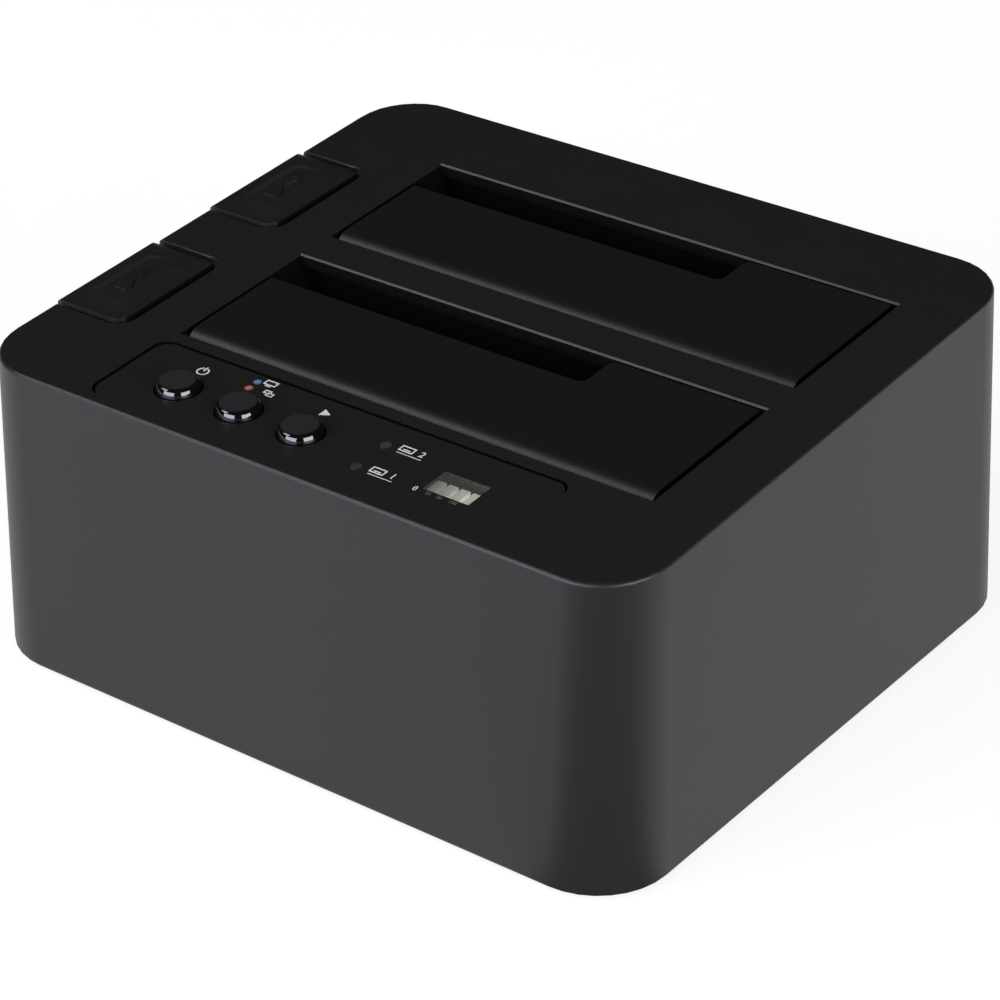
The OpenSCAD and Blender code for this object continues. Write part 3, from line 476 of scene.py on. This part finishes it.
def makeCamera():
    back = facing(camera["azimuth"], camera["elevation"])
    az, roll = math.radians(camera["azimuth"]), math.radians(camera["roll"])
    right = Vector((math.cos(az), math.sin(az), 0))
    up = back.cross(right)
    turnedRight = right * math.cos(roll) + up * math.sin(roll)
    turnedUp = up * math.cos(roll) - right * math.sin(roll)
    data = bpy.data.cameras.new("camera")
    data.sensor_width = camera["sensor"]
    data.lens = camera["lens"]
    data.clip_start = camera["near"]
    holder = bpy.data.objects.new("camera", data)
    bpy.context.scene.collection.objects.link(holder)
    turn = Matrix((turnedRight, turnedUp, back)).transposed().to_4x4()
    holder.matrix_world = Matrix.Translation(Vector(camera["target"]) + back * camera["distance"]) @ turn
    bpy.context.scene.camera = holder


makeCamera()

# Studio: pale floor, white surround, dim glow overhead, softboxes at the front, right and upper left
studio = {
    "floorSize": 8.0, "floorColour": "#8f8f8f", "floorGlow": 0.67, "floorShown": 1.18,
    "shadeAzimuth": 37.4, "shadeApex": (0.060, -0.054, 0.0), "shadeFrom": 74.0, "shadeTo": 38.0,
    "shade": 0.0,
    "ceilingFrom": 0.0, "ceilingTo": 0.03, "ceiling": 0.02, "ambient": 0.35,
    "glowAzimuth": 212, "glowElevation": 52, "glowReach": 28, "glow": 0.07,
    "front": {
        "azimuth": -9, "elevation": 18, "distance": 1.1,
        "wide": 1.03, "tall": 0.5, "power": 12.2, "colour": "#dfe5ff",
    },
    "right": {
        "azimuth": 74, "elevation": 18, "distance": 1.1,
        "wide": 0.88, "tall": 0.5, "power": 9.4, "colour": "#ffffff",
    },
    "left": {
        "azimuth": -48, "elevation": 43, "distance": 1.1,
        "wide": 0.5, "tall": 0.35, "power": 3.0, "colour": "#ffffff",
    },
}


def seenRays(tree):
    # 1 for camera, glossy and transmission rays, and 1 for camera rays alone
    path = addNode(tree, "ShaderNodeLightPath")
    total = path.outputs["Is Camera Ray"]
    for kind in ("Is Glossy Ray", "Is Transmission Ray"):
        total = addNode(
            tree, "ShaderNodeMath", links={0: total, 1: path.outputs[kind]}, operation="MAXIMUM"
        ).outputs[0]
    return total, path.outputs["Is Camera Ray"]


def makeFloor():
    bpy.ops.object.select_all(action="DESELECT")
    bpy.ops.mesh.primitive_plane_add(size=studio["floorSize"], location=(0, 0, 0))
    floor = bpy.context.object
    floor.name = "floor"
    material, tree, shader = newMaterial("pale studio floor")
    tree.nodes.remove(shader)
    seen, direct = seenRays(tree)
    # painted shade: for mirrored rays only, the floor's glow drops in a wedge in front of the near corner,
    # as if shaded by the camera stand
    place = addNode(tree, "ShaderNodeTexCoord").outputs["Object"]
    away = addNode(
        tree, "ShaderNodeVectorMath", {1: studio["shadeApex"]}, {0: place}, operation="SUBTRACT"
    ).outputs["Vector"]
    unit = addNode(tree, "ShaderNodeVectorMath", links={0: away}, operation="NORMALIZE").outputs["Vector"]
    towards = addNode(
        tree, "ShaderNodeVectorMath", {1: facing(studio["shadeAzimuth"], 0)}, {0: unit},
        operation="DOT_PRODUCT",
    ).outputs["Value"]
    shade = addNode(
        tree, "ShaderNodeMapRange",
        {
            "From Min": math.cos(math.radians(studio["shadeFrom"])),
            "From Max": math.cos(math.radians(studio["shadeTo"])), "To Min": 1.0, "To Max": studio["shade"],
        },
        {"Value": towards}, interpolation_type="SMOOTHSTEP",
    ).outputs["Result"]
    level = addNode(
        tree, "ShaderNodeMix", {3: studio["floorShown"]}, {0: direct, 2: shade}, data_type="FLOAT"
    ).outputs[0]
    glowing = addNode(tree, "ShaderNodeMath", links={0: seen, 1: level}, operation="MULTIPLY").outputs[0]
    strength = addNode(
        tree, "ShaderNodeMath", {1: studio["floorGlow"]}, {0: glowing}, operation="MULTIPLY"
    ).outputs[0]
    matt = addNode(tree, "ShaderNodeBsdfDiffuse", {"Color": hexColour(studio["floorColour"])})
    glow = addNode(tree, "ShaderNodeEmission", links={"Strength": strength})
    both = addNode(tree, "ShaderNodeAddShader", links={0: matt.outputs[0], 1: glow.outputs[0]})
    tree.links.new(both.outputs[0], tree.nodes["Material Output"].inputs["Surface"])
    floor.data.materials.append(material)


def makeWorld():
    world = bpy.data.worlds.new("studio")
    world.use_nodes = True
    bpy.context.scene.world = world
    tree = world.node_tree
    seen, direct = seenRays(tree)
    view = addNode(tree, "ShaderNodeTexCoord").outputs["Generated"]
    height = addNode(tree, "ShaderNodeSeparateXYZ", links={"Vector": view}).outputs["Z"]
    ceiling = addNode(
        tree, "ShaderNodeMapRange",
        {
            "From Min": studio["ceilingFrom"], "From Max": studio["ceilingTo"],
            "To Min": 1.0, "To Max": studio["ceiling"],
        },
        {"Value": height}, interpolation_type="SMOOTHSTEP",
    ).outputs["Result"]
    nearGlow = addNode(
        tree, "ShaderNodeVectorMath", {1: facing(studio["glowAzimuth"], studio["glowElevation"])},
        {0: view}, operation="DOT_PRODUCT",
    ).outputs["Value"]
    glow = addNode(
        tree, "ShaderNodeMapRange",
        {"From Min": math.cos(math.radians(studio["glowReach"])), "To Max": studio["glow"]},
        {"Value": nearGlow}, interpolation_type="SMOOTHSTEP",
    ).outputs["Result"]
    above = addNode(tree, "ShaderNodeMath", links={0: ceiling, 1: glow}, operation="ADD").outputs[0]
    mirrored = addNode(
        tree, "ShaderNodeMix", {2: studio["ambient"]}, {0: seen, 3: above}, data_type="FLOAT"
    ).outputs[0]
    shown = addNode(tree, "ShaderNodeMix", {3: 1.0}, {0: direct, 2: mirrored}, data_type="FLOAT").outputs[0]
    tree.links.new(shown, tree.nodes["Background"].inputs["Strength"])
    tree.nodes["Background"].inputs["Color"].default_value = (1, 1, 1, 1)


def makeLamp(name):
    lamp = studio[name]
    back = facing(lamp["azimuth"], lamp["elevation"])
    data = bpy.data.lights.new(name + " softbox", "AREA")
    data.shape = "RECTANGLE"
    data.size = lamp["wide"]
    data.size_y = lamp["tall"]
    data.energy = lamp["power"]
    data.color = hexColour(lamp["colour"])[:3]
    holder = bpy.data.objects.new(name + "_softbox", data)
    bpy.context.scene.collection.objects.link(holder)
    holder.location = Vector((0, 0, top["height"] * mm / 2)) + back * lamp["distance"]
    holder.rotation_mode = "QUATERNION"
    holder.rotation_quaternion = back.to_track_quat("Z", "Y")


makeFloor()
makeWorld()
for lampName in ("front", "right", "left"):
    makeLamp(lampName)
bpy.context.scene.view_settings.view_transform = "Standard"
print("studio ready")

# Case, flaps and bays: the CAD's own shapes with eased edges
notches = {"left": -71.6, "wall": -70.9, "right": -55.2, "level": 0.05, "ease": 0.4, "segments": 3}
openings = {"left": -47.0, "right": 60.0, "front": -62.0, "rear": 47.0, "deep": 0.25}
ejectCap = {"level": 0.5, "ease": 0.4}


def paintShade(skin, test):
    # faces that pass a test on centre and normal, in mm in the top's frame, take the dark inner finish as
    # painted shade
    skin.data.materials.append(shadedInnerAbs)
    turn = topInverse.to_3x3()
    for face in skin.data.polygons:
        if test((topInverse @ face.center) / mm, turn @ face.normal):
            face.material_index = 1


def insideOpening(spot, normal):
    across = openings["left"] < spot.x < openings["right"]
    along = openings["front"] < spot.y < openings["rear"]
    return across and along and spot.z < -openings["deep"]


def easeNotches(skin):
    # rounds the edges behind the eject buttons, which catch a line of light
    def onNotch(a, b):
        spots = [(topInverse @ point) / mm for point in (a, b)]
        level = all(abs(spot.z) < notches["level"] for spot in spots)
        reach = [spot.x for spot in spots]
        return level and notches["left"] < min(reach) and notches["wall"] < max(reach) < notches["right"]

    selectEdges(skin, onNotch)
    bpy.ops.mesh.bevel(offset=notches["ease"] * mm, segments=notches["segments"], affect="EDGES")
    leaveEdit()


def clearForPad(skin):
    flattenAbove(skin, ejectCap["level"])


cover = dressNode("top_cover", caseAbs, "case_plastic", bevel=0.12, shape=easeNotches)
# the cover's faces inside the bay openings are painted with shade
paintShade(cover, insideOpening)
dressNode("base_plate", caseAbs, "case_plastic", bevel=0.15)
dressNode("rubber_feet", footRubber, "foot_rubber", bevel=0.4)
for side in ("front", "rear"):
    flap = dressNode(side + "_flap", flapAbs, "case_plastic", bevel=0.12)
    # the flap's end faces are painted with shade, for the dark gaps at its ends
    paintShade(flap, lambda spot, normal: abs(normal.x) > facesAlong)
    cap = dressNode(
        side + "_eject_button", caseAbs, "case_plastic", bevel=ejectCap["ease"], shape=clearForPad
    )
    # the cap's right wall is painted with shade, for the dark gap beside it
    paintShade(cap, lambda spot, normal: normal.x > facesAlong)
    # the liner's near black is painted shade in the well
    dressNode(side + "_bay_liner", shadedInnerAbs, "inner_plastic")
dressNode("control_panel", panelFilm, "panel_plastic")
print("case dressed")


# Flat signs, cut as thin solids
flatSign = {"ringPoints": 64, "figureMerge": 0.002}


def flatBar(wide, tall, x=0.0, y=0.0):
    bpy.ops.object.select_all(action="DESELECT")
    bpy.ops.mesh.primitive_plane_add(size=1, location=(x * mm, y * mm, 0))
    bar = bpy.context.object
    bar.scale = (wide * mm, tall * mm, 1)
    settle(bar)
    return bar


def flatFrame(wide, tall, line, x=0.0, y=0.0):
    outline = flatBar(wide, tall, x, y)
    editAll(outline)
    bpy.ops.mesh.inset(thickness=line * mm)
    bpy.ops.mesh.delete(type="FACE")
    leaveEdit()
    return outline


def flatDisc(radius, points, x=0.0, y=0.0, turn=0.0):
    bpy.ops.object.select_all(action="DESELECT")
    bpy.ops.mesh.primitive_circle_add(
        vertices=points, radius=radius * mm, fill_type="NGON", location=(x * mm, y * mm, 0),
        rotation=(0, 0, math.radians(turn)),
    )
    disc = bpy.context.object
    settle(disc)
    return disc


def flatRing(radius, line, gap):
    # a ring that is open at its top
    ring = flatDisc(radius, flatSign["ringPoints"])
    editAll(ring)
    bpy.ops.mesh.inset(thickness=line * mm)
    bpy.ops.mesh.delete(type="FACE")
    leaveEdit()
    selectFaces(ring, lambda centre, normal: centre.y > 0 and abs(centre.x) < gap / 2 * mm)
    bpy.ops.mesh.delete(type="FACE")
    leaveEdit()
    return ring


def flatFigure(figure, size, x=0.0, y=0.0):
    bpy.ops.object.select_all(action="DESELECT")
    bpy.ops.object.text_add()
    sign = bpy.context.object
    sign.data.body = figure
    sign.data.align_x = "CENTER"
    sign.data.align_y = "CENTER"
    bpy.ops.object.convert(target="MESH")
    sign = bpy.context.object
    editAll(sign)
    bpy.ops.mesh.remove_doubles(threshold=flatSign["figureMerge"])
    leaveEdit()
    sign.scale = (size * mm, size * mm, size * mm)
    sign.location = (x * mm, y * mm, 0)
    settle(sign)
    return sign


def raiseSign(shapes, name, thick, x, y, lift):
    # joins flat shapes, gives them their thickness and lays them on the top
    sign = joinPieces(shapes, name)
    applyModifier(sign, "SOLIDIFY", thickness=thick * mm, offset=1.0)
    placeOnTop(sign, x, y, lift)
    return sign


# Eject pads: a soft raised cushion of the cap's own plastic, with a lift sign and the drive's number
ejectPad = {
    "wide": 12.6, "long": 22.0, "corner": 4.2, "base": 0.2, "rise": 0.58, "flank": 4.1, "steps": 10,
    "x": -63.9, "fore": 0.9, "proud": 0.5, "sink": 0.16, "signHeight": 0.34, "signSink": 0.02,
    "cornerSteps": 10, "smooth": 50, "arrow": 1.8, "arrowPoints": 3, "arrowY": -2.3,
    "bar": (3.1, 0.7), "barY": -4.1, "figure": 4.4, "figureY": 2.6,
}


def makeEjectPad(side, number):
    pad = newBlock(side + "_eject_pad", (ejectPad["wide"], ejectPad["long"], ejectPad["base"]))
    selectEdges(pad, lambda a, b: abs(a.z - b.z) > 0.5 * ejectPad["base"] * mm)
    bpy.ops.mesh.bevel(offset=ejectPad["corner"] * mm, segments=ejectPad["cornerSteps"], affect="EDGES")
    leaveEdit()
    selectFaces(pad, lambda centre, normal: normal.z > facesAlong)
    height = 0.0
    for step in range(1, ejectPad["steps"] + 1):
        part = step / ejectPad["steps"]
        raised = ejectPad["rise"] * part * part * (3 - 2 * part)
        bpy.ops.mesh.inset(thickness=ejectPad["flank"] / ejectPad["steps"] * mm)
        bpy.ops.transform.translate(value=(0, 0, (raised - height) * mm))
        height = raised
    leaveEdit()
    smooth(pad, ejectPad["smooth"])
    low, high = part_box(side + "_eject_button")
    y = (low[1] + high[1]) / 2 / mm - ejectPad["fore"]
    lift = ejectPad["proud"] - ejectPad["sink"] + ejectPad["base"] / 2
    placeOnTop(pad, ejectPad["x"], y, lift)
    body = side + "_eject_button"
    wear(pad, caseAbs, body, "case_plastic")
    shapes = [
        flatDisc(ejectPad["arrow"], ejectPad["arrowPoints"], y=ejectPad["arrowY"]),
        flatBar(*ejectPad["bar"], y=ejectPad["barY"]),
        flatFigure(number, ejectPad["figure"], y=ejectPad["figureY"]),
    ]
    face = lift + ejectPad["base"] / 2 + ejectPad["rise"]
    sign = raiseSign(
        shapes, side + "_eject_sign", ejectPad["signHeight"], ejectPad["x"], y, face - ejectPad["signSink"]
    )
    wear(sign, caseAbs, body, "case_plastic")


makeEjectPad("front", "1")
makeEjectPad("rear", "2")
print("eject pads ready")


# Round buttons: polished sides, matt caps
roundButton = {"shoulder": 1.2, "crown": 0.95, "angle": 30, "weight": 100, "level": 0.95, "cap": 0.1}


def narrowCrown(skin):
    # draws the shoulder and the cap in a little, so that more of the polished side shows
    spots = [topInverse @ point.co for point in skin.data.vertices]
    x = (min(spot.x for spot in spots) + max(spot.x for spot in spots)) / 2
    y = (min(spot.y for spot in spots) + max(spot.y for spot in spots)) / 2
    for point, spot in zip(skin.data.vertices, spots):
        if spot.z > roundButton["shoulder"] * mm:
            spot.x = x + (spot.x - x) * roundButton["crown"]
            spot.y = y + (spot.y - y) * roundButton["crown"]
            point.co = topFrame @ spot


def makeButton(name):
    skin = dressNode(
        name, buttonGloss, "button_plastic", angle=roundButton["angle"], shape=narrowCrown,
        weight=roundButton["weight"],
    )
    skin.data.materials.append(buttonMatt)
    crown = max((topInverse @ point.co).z for point in skin.data.vertices)
    for face in skin.data.polygons:
        level = face.normal.dot(topNormal) > roundButton["level"]
        if level and (topInverse @ face.center).z > crown - roundButton["cap"] * mm:
            face.material_index = 1


for name in ("power_button", "mode_button", "start_button"):
    makeButton(name)
dressNode("blue_indicator", blueLens, "blue_lens", bevel=0.15)
dressNode("orange_indicator", orangeLens, "orange_lens", bevel=0.15)
dressNode("first_drive_indicator", redLens, "dark_lens", bevel=0.15)
dressNode("second_drive_indicator", greyLens, "dark_lens", bevel=0.15)
dressNode("progress_window", smokedAcrylic, "smoked_window", bevel=0.08)
dressNode("progress_bars", opalGlowAcrylic, "light_bar", bevel=0.08)

# White signs on the panel: generic marks and plain numbers only
signs = {"thick": 0.03, "lift": 0.004, "line": 0.26}
powerSign = {"x": -32.3, "y": -44.9, "ring": 1.25, "line": 0.34, "gap": 0.9, "bar": 1.3, "barY": 0.8}
startSign = {"x": -4.8, "y": -44.3, "size": 1.25, "points": 3, "turn": -90}
computerSign = {"x": -19.2, "y": -41.9, "screen": (2.6, 1.5), "screenY": 0.3, "foot": 1.3, "footY": -0.75}
copySign = {"x": -17.4, "y": -44.5, "sheet": (1.5, 1.1), "apartX": 0.45, "apartY": 0.28}
driveSign = {
    "x": 16.4, "places": (("2", -46.0), ("1", -54.0)), "case": (3.0, 1.7), "caseX": -1.6,
    "slot": 1.5, "slotY": -0.25, "figure": 2.3, "figureX": 1.6, "figureY": -0.05,
    "rule": (5.2, 0.14), "ruleX": -0.2, "ruleY": -1.5,
}
zeroSign = {"x": 23.4, "y": -54.9, "figure": 1.7}
scaleSign = {"y": -55.0, "figure": 1.1, "places": (("25", 26.2), ("50", 28.5), ("100", 31.4))}
line = signs["line"]


def lay(shapes, name, x, y):
    return raiseSign(shapes, name, signs["thick"], x, y, signs["lift"])


def layPower():
    spec = powerSign
    ring = flatRing(spec["ring"], spec["line"], spec["gap"])
    bar = flatBar(spec["line"], spec["bar"], y=spec["barY"])
    return lay([ring, bar], "power_sign", spec["x"], spec["y"])


def layStart():
    spec = startSign
    arrow = flatDisc(spec["size"], spec["points"], turn=spec["turn"])
    return lay([arrow], "start_sign", spec["x"], spec["y"])


def layComputer():
    spec = computerSign
    screen = flatFrame(*spec["screen"], line, y=spec["screenY"])
    foot = flatBar(spec["foot"], line, y=spec["footY"])
    return lay([screen, foot], "computer_sign", spec["x"], spec["y"])


def layCopy():
    spec = copySign
    rear = flatFrame(*spec["sheet"], line, x=-spec["apartX"], y=spec["apartY"])
    fore = flatFrame(*spec["sheet"], line, x=spec["apartX"], y=-spec["apartY"])
    return lay([rear, fore], "copy_sign", spec["x"], spec["y"])


def layDrive(number, y):
    spec = driveSign
    shapes = [
        flatFrame(*spec["case"], line, x=spec["caseX"]),
        flatBar(spec["slot"], line, x=spec["caseX"], y=spec["slotY"]),
        flatFigure(number, spec["figure"], x=spec["figureX"], y=spec["figureY"]),
        flatBar(*spec["rule"], x=spec["ruleX"], y=spec["ruleY"]),
    ]
    return lay(shapes, "drive_sign", spec["x"], y)


def layFigure(spec, name, figure, x):
    return lay([flatFigure(figure, spec["figure"])], name, x, spec["y"])


legends = [layPower(), layStart(), layComputer(), layCopy()]
legends += [layDrive(number, y) for number, y in driveSign["places"]]
legends.append(layFigure(zeroSign, "zero_sign", "0", zeroSign["x"]))
wear(joinPieces(legends, "panel_signs"), legendInk, "case", "panel_plastic")
scale = [layFigure(scaleSign, "scale_sign", figure, x) for figure, x in scaleSign["places"]]
wear(joinPieces(scale, "window_scale"), dimInk, "case", "panel_plastic")
print("panel ready")


# Springs wound again with finer wire, each in its CAD node's place
springs = {
    "flap": {"radius": 1.6, "wire": 0.5, "pitch": 0.95, "turns": 6, "rearLeg": 7.0, "frontLeg": 4.9},
    "eject": {"radius": 4.2, "wire": 0.7, "turns": 8, "travel": 5.1},
    "stepsPerTurn": 28, "rounding": 3, "merge": 0.001, "smooth": 60,
}


def windSpring(name, points, wire, body, *nodes):
    data = bpy.data.curves.new(name + "_wire", "CURVE")
    data.dimensions = "3D"
    data.bevel_depth = wire / 2 * mm
    data.bevel_resolution = springs["rounding"]
    data.use_fill_caps = True
    spline = data.splines.new("POLY")
    spline.points.add(len(points) - 1)
    for spot, place in zip(spline.points, points):
        spot.co = (*place, 1.0)
    coil = bpy.data.objects.new(name + "_wire", data)
    bpy.context.scene.collection.objects.link(coil)
    activate(coil)
    bpy.ops.object.convert(target="MESH")
    coil = bpy.context.object
    editAll(coil)
    bpy.ops.mesh.remove_doubles(threshold=springs["merge"] * mm)
    bpy.ops.mesh.normals_make_consistent(inside=False)
    leaveEdit()
    smooth(coil, springs["smooth"])
    wear(coil, springSteel, body, "spring_steel", *nodes)
    return coil


def windFlapSpring(side):
    spec = springs["flap"]
    low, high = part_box(side + "_flap_pin")
    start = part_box(side + "_flap_spring")[0]
    axis = Vector((start[0] + spec["wire"] / 2 * mm, (low[1] + high[1]) / 2, (low[2] + high[2]) / 2))
    turn = topFrame.to_3x3()
    leg = [(0, spec["rearLeg"], -spec["radius"]), (0, 0, -spec["radius"])]
    path = []
    total = springs["stepsPerTurn"] * spec["turns"]
    for k in range(total + 1):
        angle = 2 * math.pi * k / springs["stepsPerTurn"]
        path.append((
            spec["pitch"] * k / springs["stepsPerTurn"], -spec["radius"] * math.sin(angle),
            -spec["radius"] * math.cos(angle),
        ))
    path.append((spec["pitch"] * spec["turns"], -spec["frontLeg"], -spec["radius"]))
    coilPath, legPath = [[axis + turn @ (Vector(p) * mm) for p in part] for part in (path, leg)]
    windSpring(side + "_flap_spring", coilPath, spec["wire"], "case", side + "_flap_spring")
    # the rear leg presses on the flap and turns with it
    windSpring(side + "_flap_spring_leg", legPath, spec["wire"], side + "_flap")


def windEjectSpring(side):
    spec = springs["eject"]
    low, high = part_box(side + "_eject_spring")
    half = spec["wire"] / 2 * mm
    x, y = (low[0] + high[0]) / 2, (low[1] + high[1]) / 2
    total = springs["stepsPerTurn"] * spec["turns"]
    path = []
    for k in range(total + 1):
        angle = 2 * math.pi * k / springs["stepsPerTurn"]
        rise = low[2] + half + (high[2] - low[2] - 2 * half) * k / total
        along, across = math.cos(angle), math.sin(angle)
        path.append((x + spec["radius"] * mm * along, y - spec["radius"] * mm * across, rise))
    coil = windSpring(side + "_eject_spring", path, spec["wire"], "case", side + "_eject_spring")
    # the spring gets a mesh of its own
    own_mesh(coil)


for side in ("front", "rear"):
    windFlapSpring(side)
    windEjectSpring(side)
print("springs wound")

# Sockets of the drives, with gold blades in their slots
driveSocket = {
    "pitch": 1.27, "blade": (0.7, 0.3, 4.4), "behind": 1.05, "depth": 5.0, "ease": 0.08, "smooth": 40,
    "rows": ((15, -7.5), (7, 12.5)),
}


def makeContacts(side):
    node = side + "_drive_socket"
    dressNode(node, socketNylon, "socket_plastic", bevel=0.12)
    low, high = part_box(node)
    x, y = (low[0] + high[0]) / 2 / mm, (low[1] + high[1]) / 2 / mm
    floor = high[2] / mm - driveSocket["depth"]
    blades = []
    for count, middle in driveSocket["rows"]:
        for k in range(count):
            blades.append(newBlock(
                "blade", driveSocket["blade"],
                (x + middle + (k - (count - 1) / 2) * driveSocket["pitch"], y + driveSocket["behind"],
                 floor + driveSocket["blade"][2] / 2),
            ))
    row = joinPieces(blades, side + "_drive_contacts")
    applyModifier(row, "BEVEL", width=driveSocket["ease"] * mm, segments=2)
    smooth(row, driveSocket["smooth"])
    wear(row, goldContact, "case", "pin_steel")


for side in ("front", "rear"):
    makeContacts(side)

# Ports in the rear wall: bright shells, black tongues with gold blades
ports = {
    "usb_port": {"tongue": (5.6, 3.2), "blades": 2, "pitch": 2.0, "blade": (1.0, 6.0, 0.2)},
    "esata_port": {"tongue": (9.6, 1.6), "blades": 7, "pitch": 1.27, "blade": (0.6, 6.0, 0.2)},
    "bladeBack": 4.2, "room": 0.2, "mouth": 1.0, "sink": 0.05, "ease": 0.05,
}


def makePort(node):
    spec = ports[node]
    skin = dressNode(node, nickelShell, "port_shell", bevel=0.1)
    skin.data.materials.append(socketNylon)
    low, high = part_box(node)
    x, z = (low[0] + high[0]) / 2, (low[2] + high[2]) / 2
    for face in skin.data.polygons:
        beside = abs(face.center.x - x) < (spec["tongue"][0] / 2 + ports["room"]) * mm
        level = abs(face.center.z - z) < (spec["tongue"][1] / 2 + ports["room"]) * mm
        if beside and level and face.center.y > low[1] + ports["mouth"] * mm:
            face.material_index = 1
    blades = [
        newBlock("blade", spec["blade"], (
            x / mm + (k - (spec["blades"] - 1) / 2) * spec["pitch"], high[1] / mm - ports["bladeBack"],
            z / mm + spec["tongue"][1] / 2 + spec["blade"][2] / 2 - ports["sink"],
        ))
        for k in range(spec["blades"])
    ]
    row = joinPieces(blades, node + "_contacts")
    applyModifier(row, "BEVEL", width=ports["ease"] * mm, segments=2)
    wear(row, goldContact, "case", "pin_steel")


for node in ("usb_port", "esata_port"):
    makePort(node)
# the power jack, with a bright pin
jackPin = {"reach": 1.2, "back": 1.0, "fore": 0.5}
jack = dressNode("power_jack", socketNylon, "socket_plastic", bevel=0.12)
jack.data.materials.append(nickelShell)
jackLow, jackHigh = (Vector(corner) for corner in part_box("power_jack"))
jackMiddle = (jackLow + jackHigh) / 2
for face in jack.data.polygons:
    away = math.hypot(face.center.x - jackMiddle.x, face.center.z - jackMiddle.z)
    back = face.center.y > jackLow.y + jackPin["back"] * mm
    fore = face.center.y < jackHigh.y - jackPin["fore"] * mm
    if away < jackPin["reach"] * mm and back and fore:
        face.material_index = 1
print("sockets ready")


# Case screws with a cross recess
caseScrew = {"head": 5.8, "recess": (3.2, 0.75, 0.9), "smooth": 35}


def makeCaseScrews():
    skin = dressNode("case_screws", zincSteel, "screw_steel")
    low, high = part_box("case_screws")
    half = caseScrew["head"] / 2
    long, wide, deep = caseScrew["recess"]
    cutters = []
    for x in (low[0] / mm + half, high[0] / mm - half):
        for y in (low[1] / mm + half, high[1] / mm - half):
            for size in ((long, wide, 2 * deep), (wide, long, 2 * deep)):
                cutters.append(newBlock("cutter", size, (x, y, low[2] / mm)))
    for cutter in cutters:
        applyModifier(skin, "BOOLEAN", operation="DIFFERENCE", solver="EXACT", object=cutter)
        bpy.data.objects.remove(cutter, do_unlink=True)
    smooth(skin, caseScrew["smooth"])


makeCaseScrews()

# What is left inside keeps its CAD shape under its own finish
inside = {
    "liner_screws": (zincSteel, "screw_steel"), "bracket_screws": (zincSteel, "screw_steel"),
    "button_board_screws": (zincSteel, "screw_steel"), "board_screws": (zincSteel, "screw_steel"),
    "front_flap_pin": (groundSteel, "pin_steel"), "rear_flap_pin": (groundSteel, "pin_steel"),
    "front_lever_pin": (groundSteel, "pin_steel"), "rear_lever_pin": (groundSteel, "pin_steel"),
    "front_eject_bracket": (shadedInnerAbs, "inner_plastic"), "rear_eject_bracket": (shadedInnerAbs, "inner_plastic"),
    "front_eject_lever": (shadedInnerAbs, "inner_plastic"), "rear_eject_lever": (shadedInnerAbs, "inner_plastic"),
    "button_board": (boardLaminate, "circuit_board"), "main_board": (boardLaminate, "circuit_board"),
    "push_switches": (switchMetal, "switch_metal"), "panel_leds": (ledResin, "led_resin"),
    "cable_headers": (headerNylon, "header_plastic"), "panel_cable": (ribbonPvc, "ribbon_cable"),
    "controller_chips": (chipEpoxy, "chip_resin"), "capacitors": (canSleeve, "capacitor_can"),
}
for node, (material, slot) in inside.items():
    dressNode(node, material, slot, bevel=0.1)
print("inside dressed")
